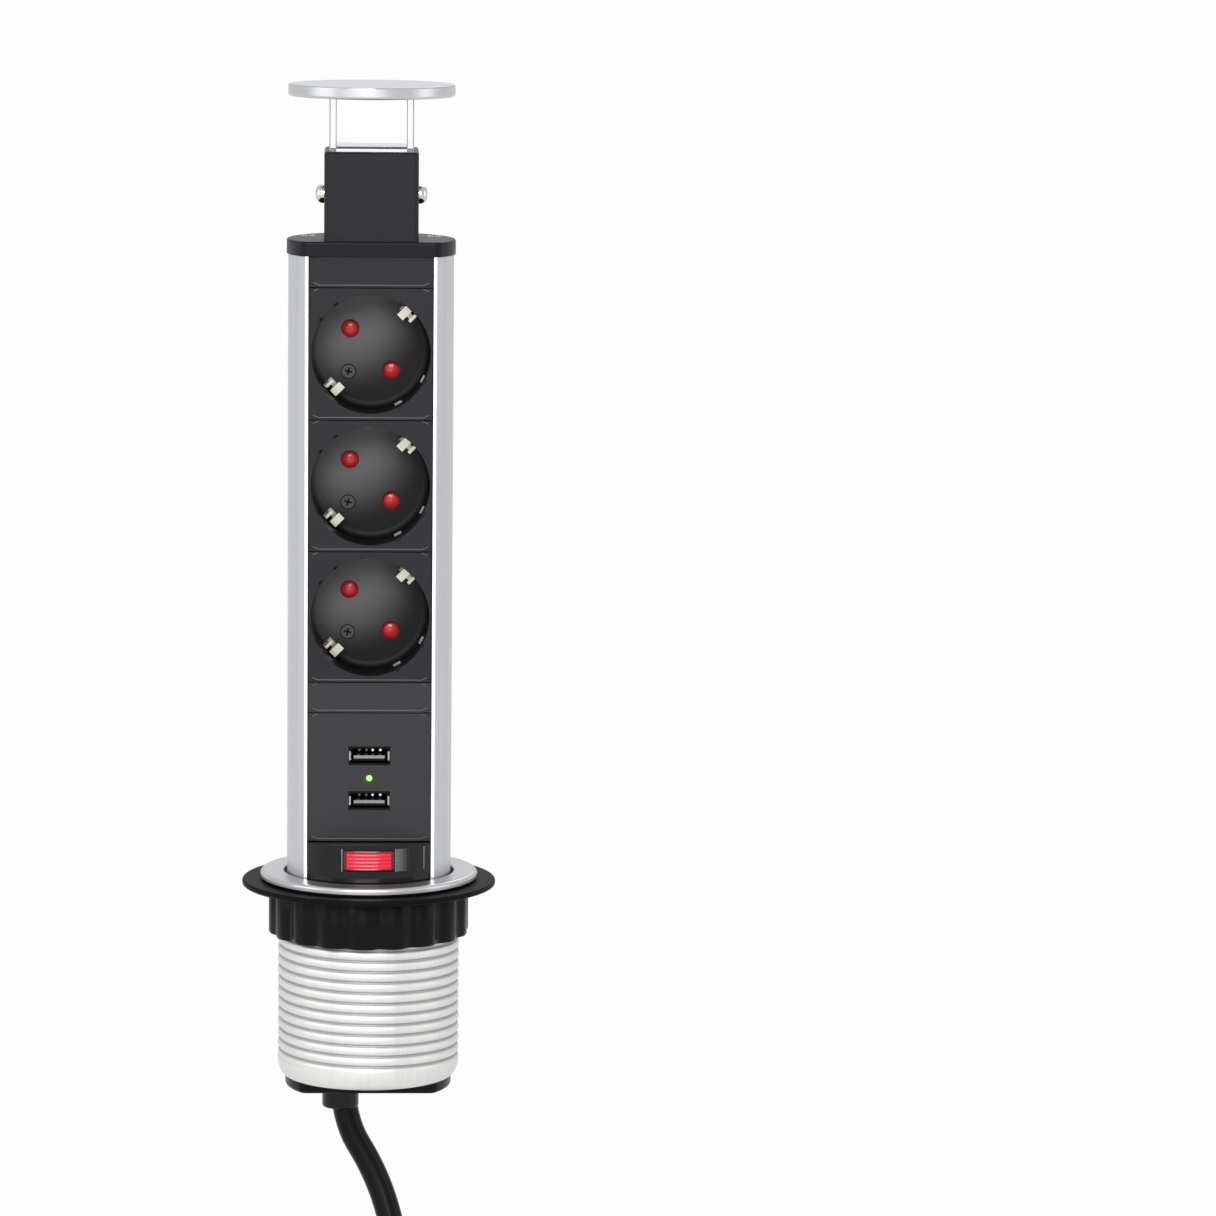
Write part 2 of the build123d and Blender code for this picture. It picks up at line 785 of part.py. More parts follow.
def socket_body(name, centre_z):
    """Round body behind a recess, with the screw boss and the web that carries the stud's end."""
    with BuildPart() as body:
        with BuildSketch(front_plane(centre_z, recess_depth + recess_floor)):
            Circle(chamber_radius)
            Circle(chamber_radius - chamber_wall, mode=Mode.SUBTRACT)
        extrude(amount=-chamber_depth)
        boss_place = polar(insert_screw_distance, insert_screw_angle)
        with BuildSketch(front_plane(centre_z, recess_depth + recess_floor)):
            with Locations(boss_place):
                Circle(body_boss_radius)
        extrude(amount=-body_boss_length)
        with BuildSketch(front_plane(centre_z, recess_depth + recess_floor + body_web_depth)):
            with Locations(Location((0, 0, 0), (0, 0, insert_screw_angle))):
                Rectangle(2 * chamber_radius - chamber_wall, body_web_width)
        extrude(amount=-body_web_thickness)
        with BuildSketch(front_plane(centre_z, recess_depth + recess_floor)):
            Circle(pivot_radius + bearing_gap)
            with Locations(boss_place):
                Circle(insert_screw_radius + bearing_gap)
        extrude(amount=-body_boss_length, mode=Mode.SUBTRACT)
    body.part.label = name
    return body.part


def shutter(name, centre_z):
    """Two-armed shutter with a red dome behind each pin hole, turning on the insert's stud."""
    ball_radius = (dome_radius**2 + dome_height**2) / (2 * dome_height)
    with BuildPart() as blade:
        with BuildSketch(front_plane(centre_z, shutter_front_y + panel_face)):
            with Locations(Location((0, 0, 0), (0, 0, pin_angle))):
                SlotCenterToCenter(pin_spacing, 2 * shutter_half_width)
            Circle(pivot_radius + bearing_gap, mode=Mode.SUBTRACT)
        extrude(amount=-shutter_thickness)
        for side in (0, 180):
            x, z = polar(pin_reach, pin_angle + side)
            middle = Vector(x, shutter_front_y, centre_z + z)
            with BuildSketch(Plane(origin=middle, x_dir=(1, 0, 0), z_dir=(0, 0, 1))):
                with BuildLine():
                    Line((0, 0), (dome_radius, 0))
                    RadiusArc((dome_radius, 0), (0, -dome_height), ball_radius)
                    Line((0, -dome_height), (0, 0))
                make_face()
            revolve(axis=Axis(middle, (0, 1, 0)))
    blade.part.label = name
    return blade.part


def contact_rail(name, side):
    """Brass rail with one pair of leaves for each socket, left or right of the axis."""
    rail_x = side * pin_offset
    rail_high = module_centres[0] + pin_offset + rail_end_margin
    leaf_start = floor_back_y + contact_start
    with BuildPart() as rail:
        with BuildSketch(Plane(origin=(rail_x, rail_y, 0), x_dir=(1, 0, 0), z_dir=(0, -1, 0))):
            with Locations((0, (rail_low_z + rail_high) / 2)):
                Rectangle(2 * rail_half_width, rail_high - rail_low_z)
        extrude(amount=-rail_thickness)
        for centre_z in module_centres:
            leaf_z = centre_z - side * pin_offset
            with BuildSketch(Plane.XY.offset(leaf_z - contact_width / 2)):
                with Locations((rail_x, (leaf_start + rail_y) / 2)):
                    with GridLocations(contact_gap + contact_leaf, 0, 2, 1):
                        Rectangle(contact_leaf, rail_y - leaf_start)
            extrude(amount=contact_width)
    rail.part.label = name
    return rail.part


def earth_leg(centre_z, angle):
    """Leg from the strap through the recess floor, folded inward as two prongs, added to the part."""
    root_radius = chamber_radius + slide_gap + earth_ring_width - earth_leg_thickness
    wall_radius = recess_radius - slide_gap - 2 * earth_leg_thickness
    across = polar(1, angle)
    # Seen from the side, with depth toward the user along the plane's Y
    side_plane = Plane(
        origin=(0, floor_y, centre_z),
        x_dir=(across[0], 0, across[1]),
        z_dir=(across[1], 0, -across[0]),
    )
    back = -(recess_floor + earth_strap_thickness)
    fold_rise = earth_leg_rise - earth_leg_thickness
    half_width = earth_leg_width / 2
    prongs = (
        (-half_width, broad_prong_width, broad_prong_reach),
        (half_width - narrow_prong_width, narrow_prong_width, narrow_prong_reach),
    )
    for start, width, reach in prongs:
        outline = (
            (root_radius, back),
            (wall_radius, recess_floor),
            (wall_radius, fold_rise),
            (wall_radius - reach, fold_rise),
            (wall_radius - reach, earth_leg_rise),
            (wall_radius + earth_leg_thickness, earth_leg_rise),
            (wall_radius + earth_leg_thickness, recess_floor),
            (root_radius + earth_leg_thickness, back),
        )
        with BuildSketch(side_plane.offset(start)) as leg:
            with BuildLine():
                Polyline(*outline, close=True)
            make_face()
        extrude(leg.sketch, amount=width)


module_numbers = range(1, module_count + 1)
socket_inserts = [socket_insert(f"socket_insert_{n}", z) for n, z in zip(module_numbers, module_centres)]
socket_bodies = [socket_body(f"socket_body_{n}", z) for n, z in zip(module_numbers, module_centres)]
shutters = [shutter(f"shutter_{n}", z) for n, z in zip(module_numbers, module_centres)]

with BuildPart() as socket_screws:
    for centre_z in module_centres:
        x, z = polar(insert_screw_distance, insert_screw_angle)
        head = Plane(origin=(x, floor_y, centre_z + z), x_dir=(1, 0, 0), z_dir=(0, -1, 0))
        countersunk_screw(head, insert_screw_head_radius, insert_screw_radius, insert_screw_length)
socket_screws.part.label = "socket_screws"

live_rail = contact_rail("live_rail", -1)
neutral_rail = contact_rail("neutral_rail", 1)

with BuildPart() as rail_carrier:
    carrier_low = module_centres[-1] - chamber_radius
    carrier_high = module_centres[0] + chamber_radius
    with BuildSketch(Plane.XY.offset(carrier_low)):
        Circle(inner_radius - carrier_gap)
        with Locations((0, rail_y + rail_thickness - inner_radius)):
            Rectangle(2 * inner_radius, 2 * inner_radius, mode=Mode.SUBTRACT)
    extrude(amount=carrier_high - carrier_low)
rail_carrier.part.label = "rail_carrier"

with BuildPart() as earth_strap:
    ring_inner = chamber_radius + slide_gap
    ring_outer = ring_inner + earth_ring_width
    strap_x = -(ring_inner + ring_outer) / 2
    with BuildSketch(front_plane(0, recess_depth + recess_floor)):
        with Locations((strap_x, (rail_low_z + module_centres[0]) / 2)):
            Rectangle(earth_ring_width, module_centres[0] - rail_low_z)
        for centre_z in module_centres:
            with Locations((0, centre_z)):
                Circle(ring_outer)
        for centre_z in module_centres:
            with Locations((0, centre_z)):
                Circle(ring_inner, mode=Mode.SUBTRACT)
    extrude(amount=-earth_strap_thickness)
    for centre_z in module_centres:
        earth_leg(centre_z, pin_angle - 90)
        earth_leg(centre_z, pin_angle + 90)
earth_strap.part.label = "earth_strap"

# Charger

usb_port_heights = [usb_top_z - drop for drop in usb_port_drops]
led_z = usb_top_z - led_drop
usb_centre_z = usb_top_z - usb_height / 2
shell_front = -usb_shell_proud
board_depth = shell_front + usb_shell_length
board_y = -panel_face + board_depth
board_height = usb_height - 2 * board_margin
post_x = board_width / 2 - post_margin
post_z = board_height / 2 - post_margin

with BuildPart() as usb_panel:
    with BuildSketch(front_plane(usb_centre_z, 0)):
        Rectangle(2 * panel_half_width, usb_height - joint_gap)
    extrude(amount=-panel_thickness)
    clips(usb_height - joint_gap, release_top_z + joint_gap / 2)
    with BuildSketch(front_plane(usb_centre_z, 0)):
        for port_z in usb_port_heights:
            with Locations((0, port_z - usb_centre_z)):
                Rectangle(usb_window_width, usb_window_height)
        with Locations((0, led_z - usb_centre_z)):
            Circle(led_radius + fit_gap)
    extrude(amount=-panel_thickness, mode=Mode.SUBTRACT)
    with BuildSketch(front_plane(usb_centre_z, panel_thickness)):
        with GridLocations(2 * post_x, 2 * post_z, 2, 2):
            Circle(post_radius)
    extrude(amount=-(board_depth - panel_thickness))
    corner_wedges(release_top_z + joint_gap / 2, usb_top_z - joint_gap / 2)
usb_panel.part.label = "usb_panel"

with BuildPart() as usb_board:
    with BuildSketch(front_plane(usb_centre_z, board_depth)):
        Rectangle(board_width, board_height)
    extrude(amount=-board_thickness)
usb_board.part.label = "usb_board"


def usb_port(name, port_z):
    """Metal shell of one port, open at the front and closed by the board behind."""
    with BuildPart() as shell:
        with BuildSketch(front_plane(port_z, shell_front)):
            RectangleRounded(usb_shell_width, usb_shell_height, usb_shell_wall)
            inner_width = usb_shell_width - 2 * usb_shell_wall
            inner_height = usb_shell_height - 2 * usb_shell_wall
            Rectangle(inner_width, inner_height, mode=Mode.SUBTRACT)
        extrude(amount=-usb_shell_length)
    shell.part.label = name
    return shell.part


usb_ports = [
    usb_port(f"usb_port_{index}", port_z) for index, port_z in enumerate(usb_port_heights, start=1)
]

with BuildPart() as usb_tongues:
    for port_z in usb_port_heights:
        with BuildSketch(front_plane(port_z - usb_tongue_drop, usb_tongue_setback)):
            Rectangle(usb_tongue_width, usb_tongue_thickness)
        extrude(amount=-(board_depth - usb_tongue_setback))
usb_tongues.part.label = "usb_tongues"

with BuildPart() as usb_contacts:
    for port_z in usb_port_heights:
        contact_z = port_z - usb_tongue_drop + (usb_tongue_thickness + usb_contact_thickness) / 2
        with BuildSketch(front_plane(contact_z, 2 * usb_tongue_setback)):
            with GridLocations(usb_contact_pitch, 0, usb_contact_count, 1):
                Rectangle(usb_contact_width, usb_contact_thickness)
        extrude(amount=-(board_depth - 2 * usb_tongue_setback))
usb_contacts.part.label = "usb_contacts"

with BuildPart() as led_light_pipe:
    with BuildSketch(front_plane(led_z, 0)):
        Circle(led_radius)
    extrude(amount=-board_depth)
    fillet(led_light_pipe.faces().sort_by(Axis.Y)[0].edges(), led_dome_radius)
led_light_pipe.part.label = "led_light_pipe"

with BuildPart() as usb_transformer:
    transformer_z = usb_centre_z + (board_height - transformer_height) / 2
    with BuildSketch(front_plane(transformer_z, board_depth + board_thickness)):
        Rectangle(transformer_width, transformer_height)
    extrude(amount=-transformer_depth)
usb_transformer.part.label = "usb_transformer"

# Release button, its housing and its spring

window_z = release_top_z - window_drop
release_inner_radius = release_outer_radius - release_wall
release_back = tower_front - ledge_depth - ear_gap - ear_thickness
tooth_z = window_z - latch_drop
release_clear_height = release_height - joint_gap
release_low_z = release_bottom_z + joint_gap / 2

with BuildPart() as release_housing:
    with BuildSketch(Plane.XY.offset(release_low_z)):
        Circle(release_outer_radius)
        with Locations((0, release_outer_radius - release_back)):
            Rectangle(2 * release_outer_radius, 2 * release_outer_radius, mode=Mode.SUBTRACT)
        side_middle = panel_half_width + release_outer_radius / 2
        with Locations((-side_middle, 0), (side_middle, 0)):
            Rectangle(release_outer_radius, 2 * release_outer_radius, mode=Mode.SUBTRACT)
    extrude(amount=release_clear_height)
    clips(release_clear_height, release_low_z)
    with BuildSketch(Plane.XY.offset(release_low_z + release_plate)):
        Circle(release_inner_radius)
        pocket_back = release_back + release_plate
        with Locations((0, release_outer_radius - pocket_back)):
            Rectangle(2 * release_outer_radius, 2 * release_outer_radius, mode=Mode.SUBTRACT)
        pocket_side = panel_half_width - web_thickness + release_outer_radius / 2
        with Locations((-pocket_side, 0), (pocket_side, 0)):
            Rectangle(release_outer_radius, 2 * release_outer_radius, mode=Mode.SUBTRACT)
    extrude(amount=release_clear_height - 2 * release_plate, mode=Mode.SUBTRACT)
    with BuildSketch(front_plane(window_z, -release_outer_radius + panel_face - overrun)):
        Rectangle(window_width, window_height)
        with Locations((0, tooth_z - window_z)):
            Rectangle(latch_width + 2 * latch_slot_gap, latch_tooth_height + 2 * latch_slot_gap)
    extrude(amount=-(overrun + release_outer_radius - panel_face + release_wall), mode=Mode.SUBTRACT)
    with BuildSketch(front_plane(window_z, panel_face - release_back - release_plate)):
        Circle(release_peg_radius)
    extrude(amount=release_peg_length)
release_housing.part.label = "release_housing"

button_face_radius = release_outer_radius - button_recess
button_back = button_face_radius - button_thickness
with BuildPart() as release_button:
    with BuildSketch(Plane.XY.offset(window_z - button_height / 2)):
        Circle(button_face_radius)
        with Locations((0, button_face_radius - button_back)):
            Rectangle(2 * button_face_radius, 2 * button_face_radius, mode=Mode.SUBTRACT)
        beside = (button_width + button_face_radius) / 2
        with Locations((-beside, -button_face_radius), (beside, -button_face_radius)):
            Rectangle(button_face_radius, 2 * button_face_radius, mode=Mode.SUBTRACT)
    extrude(amount=button_height)
    # The flange behind the window reaches below it and to its sides, and carries the latch arm
    flange_middle_z = window_z - (button_flange_height - button_height) / 2
    latch_low_z = tooth_z - latch_tooth_height / 2
    with BuildSketch(front_plane(flange_middle_z, panel_face - button_back)):
        Rectangle(button_flange_width, button_flange_height)
        with Locations((0, (latch_low_z - flange_middle_z) / 2)):
            Rectangle(latch_width, flange_middle_z - latch_low_z)
    extrude(amount=-button_flange_thickness)
    with BuildSketch(Plane.XY.offset(latch_low_z)):
        Circle(button_face_radius)
        with Locations((0, button_face_radius - button_back)):
            Rectangle(2 * button_face_radius, 2 * button_face_radius, mode=Mode.SUBTRACT)
        beside = (latch_width + button_face_radius) / 2
        with Locations((-beside, -button_face_radius), (beside, -button_face_radius)):
            Rectangle(button_face_radius, 2 * button_face_radius, mode=Mode.SUBTRACT)
    extrude(amount=latch_tooth_height)
release_button.part.label = "release_button"

release_spring_length = button_back - button_flange_thickness - release_back - release_plate
release_spring = coil_spring(
    "release_spring",
    (0, -release_back - release_plate, window_z),
    (0, -1, 0),
    release_spring_length,
    release_spring_radius,
    release_spring_wire_radius,
    release_spring_turns,
)

# Lower end of the tower, screws and gland

with BuildPart() as foot_cap:
    with BuildSketch(Plane.XY.offset(foot_cap_bottom_z)) as foot_plan:
        d_outline(foot_cap_radius, tower_front)
        fillet(foot_plan.vertices().group_by(Axis.Y)[0], front_corner_radius)
    extrude(amount=foot_cap_thickness)
    fillet(foot_cap.faces().sort_by(Axis.Z)[0].outer_wire().edges(), foot_cap_edge_radius)
    with BuildSketch(Plane.XY.offset(foot_cap_top_z)):
        spigot_front = tower_front - ledge_depth - ear_gap - ear_thickness - ear_gap
        d_outline(inner_radius - fit_gap, spigot_front)
        Circle(inner_radius - fit_gap - spigot_wall, mode=Mode.SUBTRACT)
        with Locations((-boss_x, boss_y), (boss_x, boss_y)):
            Circle(boss_radius + fit_gap, mode=Mode.SUBTRACT)
    extrude(amount=spigot_height)
    with Locations((-boss_x, boss_y, foot_cap_bottom_z), (boss_x, boss_y, foot_cap_bottom_z)):
        with Locations(Location((0, 0, 0), (180, 0, 0))):
            CounterSinkHole(
                boss_core_radius + fit_gap,
                screw_head_radius,
                depth=foot_cap_thickness,
                counter_sink_angle=countersink_angle,
            )
    with BuildSketch(Plane.XY.offset(foot_cap_bottom_z)):
        with Locations((gland_x, 0)):
            Circle(gland_neck_radius + fit_gap)
    extrude(amount=foot_cap_thickness, mode=Mode.SUBTRACT)
foot_cap.part.label = "foot_cap"


with BuildPart() as end_screws:
    for side in (-1, 1):
        for height, outward in ((collar_top_z, 1), (foot_cap_bottom_z, -1)):
            head = Plane(origin=(side * boss_x, boss_y, height), z_dir=(0, 0, outward))
            countersunk_screw(head, screw_head_radius, boss_core_radius - bearing_gap, screw_length)
end_screws.part.label = "end_screws"

with BuildPart() as cord_gland:
    with BuildSketch(Plane.XY.offset(gland_bottom_z)):
        with Locations((gland_x, 0)):
            Circle(gland_radius)
    extrude(amount=gland_length)
    fillet(cord_gland.faces().sort_by(Axis.Z)[0].edges(), gland_edge_radius)
    with BuildSketch(Plane.XY.offset(foot_cap_bottom_z)):
        with Locations((gland_x, 0)):
            Circle(gland_neck_radius)
    extrude(amount=gland_neck_length)
    with BuildSketch(Plane.XY.offset(foot_cap_bottom_z)):
        with Locations((gland_x, 0)):
            Circle(cord_radius + fit_gap)
    extrude(amount=gland_neck_length, mode=Mode.SUBTRACT)
    with BuildSketch(Plane.XY.offset(foot_cap_bottom_z)):
        with Locations((gland_x, 0)):
            Circle(cord_radius + fit_gap)
    with BuildSketch(Plane.XY.offset(gland_bottom_z)):
        with Locations((gland_x, 0)):
            Circle(gland_mouth_radius)
    loft(mode=Mode.SUBTRACT)
cord_gland.part.label = "cord_gland"

with BuildPart() as gland_nut:
    with BuildSketch(Plane.XY.offset(foot_cap_top_z)):
        with Locations((gland_x, 0)):
            RegularPolygon(gland_nut_radius, 6)
            Circle(gland_neck_radius + bearing_gap, mode=Mode.SUBTRACT)
    extrude(amount=gland_nut_height)
gland_nut.part.label = "gland_nut"

# Cores of the mains lead, from the sheath's end to the rails and the strap

sheath_end_z = cord_route[0][2]


def core(name, angle, bend_z, end_x, end_y, end_z):
    """One core: up from the sheath, slantwise to its lane and straight up to its rail."""
    x, y = polar(core_ring_radius, angle)
    points = (
        (gland_x + x, y, sheath_end_z),
        (gland_x + x, y, bend_z),
        (end_x, end_y, bend_z + core_bend_height),
        (end_x, end_y, end_z),
    )
    return round_wire(name, points, core_radius)


rail_mid_y = rail_y + rail_thickness / 2
strap_mid_y = floor_back_y + earth_strap_thickness / 2
first_bend_z = sheath_end_z + core_straight
live_core = core("live_core", 60, first_bend_z, -pin_offset, rail_mid_y, rail_low_z)
neutral_core = core("neutral_core", 300, first_bend_z + core_step, pin_offset, rail_mid_y, rail_low_z)
earth_core = core("earth_core", 180, first_bend_z, strap_x, strap_mid_y, rail_low_z)

# Mains lead and plug

cord_free = round_wire("cord_free", cord_route, cord_radius)


def weave(start, end, going_up):
    """Two equal arcs from one vertical tangent to another, added to the line in hand."""
    middle = (start + end) / 2
    tangent = (0, 0, 1 if going_up else -1)
    first = TangentArc(start, middle, tangent=tangent)
    TangentArc(middle, end, tangent=first % 1)


def fold(start, end, height):
    """Half turn between two runs, added to the line in hand."""
    ThreePointArc(start, (start + end) / 2 + Vector(0, 0, height), end)


layer_y = [cord_route[-1][1] + hank_step * index for index in range(hank_loops + 1)]
near_x = hank_x + fold_radius
far_x = hank_x - fold_radius
with BuildPart() as cord_hank:
    with BuildLine() as hank_path:
        place = Vector(*cord_route[-1])
        waist_place = Vector(hank_x + waist_half_width, layer_y[0], waist_z)
        Line(place, waist_place)
        place = waist_place
        for lower, upper in zip(layer_y, layer_y[1:]):
            bottom = Vector(near_x, lower, fold_bottom_z)
            weave(place, bottom, False)
            turned = Vector(far_x, lower, fold_bottom_z)
            fold(bottom, turned, -fold_radius)
            drawn_in = Vector(hank_x - waist_half_width, (lower + upper) / 2, waist_z)
            weave(turned, drawn_in, True)
            top = Vector(far_x, upper, fold_top_z)
            weave(drawn_in, top, True)
            place = Vector(near_x, upper, fold_top_z)
            fold(top, place, fold_radius)
            if upper != layer_y[-1]:
                waist_place = Vector(hank_x + waist_half_width, upper, waist_z)
                weave(place, waist_place, False)
                place = waist_place
        tail = Vector(hank_x, plug_y, waist_z)
        weave(place, tail, False)
        Line(tail, Vector(hank_x, plug_y, plug_top_z))
    with BuildSketch(Plane(origin=hank_path.line @ 0, z_dir=hank_path.line % 0)):
        Circle(cord_radius)
    sweep(path=hank_path.line)
cord_hank.part.label = "cord_hank"

with BuildPart() as hank_tie:
    band_x = (hank_x - waist_half_width - cord_radius, hank_x + waist_half_width + cord_radius)
    band_y = (layer_y[0] - cord_radius, (layer_y[-1] + layer_y[-2]) / 2 + cord_radius)
    band_width = band_x[1] - band_x[0] + 2 * fit_gap
    band_depth = band_y[1] - band_y[0] + 2 * fit_gap
    with BuildSketch(Plane.XY.offset(waist_z - tie_height / 2)):
        with Locations(((band_x[0] + band_x[1]) / 2, (band_y[0] + band_y[1]) / 2)):
            RectangleRounded(
                band_width + 2 * tie_thickness,
                band_depth + 2 * tie_thickness,
                cord_radius + tie_thickness,
            )
            RectangleRounded(band_width, band_depth, cord_radius, mode=Mode.SUBTRACT)
    extrude(amount=tie_height)
hank_tie.part.label = "hank_tie"

with BuildPart() as plug_body:
    plug_shoulder_z = plug_top_z - plug_neck_length
    with BuildSketch(Plane.XY.offset(plug_face_z)):
        with Locations((hank_x, plug_y)):
            Circle(plug_radius)
    extrude(amount=plug_length)
    fillet(plug_body.faces().sort_by(Axis.Z)[-1].edges(), plug_edge_radius)
    with BuildSketch(Plane.XY.offset(plug_shoulder_z)):
        with Locations((hank_x, plug_y)):
            Circle(plug_neck_base_radius)
    with BuildSketch(Plane.XY.offset(plug_top_z)):
        with Locations((hank_x, plug_y)):
            Circle(plug_neck_top_radius)
    loft()
    contact_reach = plug_radius - plug_contact_thickness / 2
    with BuildSketch(Plane.XY.offset(plug_face_z)):
        for side in (-1, 1):
            with Locations((hank_x, plug_y + side * contact_reach)):
                Rectangle(plug_contact_width, plug_contact_thickness)
    extrude(amount=plug_contact_length, mode=Mode.SUBTRACT)
plug_body.part.label = "plug_body"

with BuildPart() as plug_pins:
    with BuildSketch(Plane.XY.offset(plug_face_z)):
        with Locations((hank_x, plug_y)):
            with GridLocations(pin_spacing, 0, 2, 1):
                Circle(plug_pin_radius)
    extrude(amount=-plug_pin_length)
    fillet(plug_pins.edges().group_by(Axis.Z)[0], plug_pin_tip_radius)
plug_pins.part.label = "plug_pins"

with BuildPart() as plug_earth_contacts:
    with BuildSketch(Plane.XY.offset(plug_face_z)):
        for side in (-1, 1):
            with Locations((hank_x, plug_y + side * contact_reach)):
                Rectangle(plug_contact_width, plug_contact_thickness)
    extrude(amount=plug_contact_length)
plug_earth_contacts.part.label = "plug_earth_contacts"

# Figures for the lead: its length, its bends and the hank's gap to itself

with BuildLine() as free_path:
    FilletPolyline(*cord_route, radius=corner_radii(cord_route))
free_wire = free_path.wires()[0]
hank_wire = hank_path.wires()[0]
free_length = free_wire.length
hank_length = hank_wire.length
section = math.pi * cord_radius**2
print("bend radii of the free stretch", [round(radius, 1) for radius in corner_radii(cord_route)])
hank_radii = sorted({round(edge.radius, 1) for edge in hank_path.edges().filter_by(GeomType.CIRCLE)})
print("bend radii of the hank", hank_radii)
print("length of the lead", round(free_length + hank_length, 1))
print("free stretch, volume over section times length", cord_free.volume / (section * free_length))
print("hank, volume over section times length", cord_hank.part.volume / (section * hank_length))
samples = int(hank_length / hank_sample)
spots = [tuple(hank_wire @ (index / samples)) for index in range(samples + 1)]
reach = int(fold_radius / hank_sample)
least = min(
    math.dist(spots[first], spots[second])
    for first in range(len(spots))
    for second in range(first + reach, len(spots))
)
print("hank's least gap to itself", round(least - 2 * cord_radius, 2))
free_samples = int(free_length / hank_sample)
free_spots = [tuple(free_wire @ (index / free_samples)) for index in range(free_samples)]
least_free = min(
    math.dist(free_spot, spot) for free_spot in free_spots for spot in spots[4 * reach :]
)
print("least gap from the free stretch to the hank", round(least_free - 2 * cord_radius, 2))

parts = [
    flange_ring.part,
    seal_ring.part,
    threaded_sleeve.part,
    guide_liner.part,
    clamp_washer.part,
    clamp_nut.part,
    tower_profile.part,
    top_collar.part,
    end_screws.part,
    stem_housing.part,
    stem_screws.part,
    stem_nuts.part,
    spring_bulkhead.part,
    cap_spring,
    cap_disc.part,
    clear_stem.part,
    stem_slider.part,
    blank_panel_top,
    *socket_inserts,
    *socket_bodies,
    *shutters,
    socket_screws.part,
    live_rail,
    neutral_rail,
    rail_carrier.part,
    earth_strap.part,
    blank_panel_lower,
    usb_panel.part,
    usb_board.part,
    *usb_ports,
    usb_tongues.part,
    usb_contacts.part,
    led_light_pipe.part,
    usb_transformer.part,
    release_housing.part,
    release_button.part,
    release_spring,
    foot_panel,
    foot_cap.part,
    cord_gland.part,
    gland_nut.part,
    live_core,
    neutral_core,
    earth_core,
    cord_free,
    cord_hank.part,
    hank_tie.part,
    plug_body.part,
    plug_pins.part,
    plug_earth_contacts.part,
]
os.makedirs("parts", exist_ok=True)
for piece in parts:
    export_step(piece, f"parts/{piece.label}.step")
print(len(parts), "pieces written")
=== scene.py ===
import json
import logging
import math
from dataclasses import dataclass
from enum import Enum
from typing import Any, Dict, List, Optional, Sequence, Tuple, Union

import bmesh
import bpy
from mathutils import Matrix, Vector


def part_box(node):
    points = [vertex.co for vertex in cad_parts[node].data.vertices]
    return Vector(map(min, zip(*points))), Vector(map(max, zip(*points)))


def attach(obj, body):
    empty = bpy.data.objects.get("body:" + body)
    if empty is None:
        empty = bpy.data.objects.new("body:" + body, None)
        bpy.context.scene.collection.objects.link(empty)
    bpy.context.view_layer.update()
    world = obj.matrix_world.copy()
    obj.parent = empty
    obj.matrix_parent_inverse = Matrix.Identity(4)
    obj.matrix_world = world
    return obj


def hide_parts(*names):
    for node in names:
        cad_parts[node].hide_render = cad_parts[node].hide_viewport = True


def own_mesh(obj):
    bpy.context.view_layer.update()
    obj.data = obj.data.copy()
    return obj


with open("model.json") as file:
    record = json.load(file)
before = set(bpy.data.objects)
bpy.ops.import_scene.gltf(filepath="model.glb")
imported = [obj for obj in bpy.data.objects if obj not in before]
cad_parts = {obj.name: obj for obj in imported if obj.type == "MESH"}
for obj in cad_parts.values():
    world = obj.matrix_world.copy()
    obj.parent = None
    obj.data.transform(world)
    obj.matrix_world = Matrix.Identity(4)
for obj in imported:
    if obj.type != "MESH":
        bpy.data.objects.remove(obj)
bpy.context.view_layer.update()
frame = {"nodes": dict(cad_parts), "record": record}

log = logging.getLogger("desk_socket")

Point = Tuple[float, float, float]
Colour = Tuple[float, float, float]
Pairs = Tuple[Tuple[float, float], ...]
Verts = List[bmesh.types.BMVert]
Edges = List[bmesh.types.BMEdge]
Node = bpy.types.Node
Socket = bpy.types.NodeSocket

MM = 0.001
IMAGE_SIZE = 1216
SENSOR = 36.0
QUARTER_TURN = math.pi / 2
PANEL_FRONT = -16.3 * MM


class Noise(Enum):
    """Grains that break up a surface, with how each is stretched along X, Y and Z."""

    GRAIN = (1.0, 1.0, 1.0)
    BRUSHED = (1.0, 1.0, 0.004)


class Signal:
    """An output socket that takes part in sums and products."""

    def __init__(self, board: "NodeBoard", socket: Socket) -> None:
        """Keeps the socket and the board that its nodes stand on."""
        self.board = board
        self.socket = socket

    def _join(self, operation: str, first: Any, second: Any) -> "Signal":
        """Adds a Math node that works on two values or signals."""
        made = self.board.add("ShaderNodeMath", {0: first, 1: second}, operation=operation)
        return self.board.signal(made)

    def __add__(self, other: Any) -> "Signal":
        """Sum."""
        return self._join("ADD", self, other)

    def __sub__(self, other: Any) -> "Signal":
        """Difference."""
        return self._join("SUBTRACT", self, other)

    def __rsub__(self, other: Any) -> "Signal":
        """Difference with a number in front."""
        return self._join("SUBTRACT", other, self)

    def __mul__(self, other: Any) -> "Signal":
        """Product."""
        return self._join("MULTIPLY", self, other)

    __radd__ = __add__
    __rmul__ = __mul__

    def greatest(self, other: Any) -> "Signal":
        """The greater of two."""
        return self._join("MAXIMUM", self, other)

    def root(self) -> "Signal":
        """Square root."""
        return self._join("SQRT", self, 0.0)

    def sine(self) -> "Signal":
        """Sine."""
        return self._join("SINE", self, 0.0)

    def ramp(self, start: float, end: float) -> "Signal":
        """Soft step from 0 at the start to 1 at the end."""
        inputs = {"Value": self, "From Min": start, "From Max": end}
        return self.board.signal(
            self.board.add("ShaderNodeMapRange", inputs, interpolation_type="SMOOTHSTEP")
        )


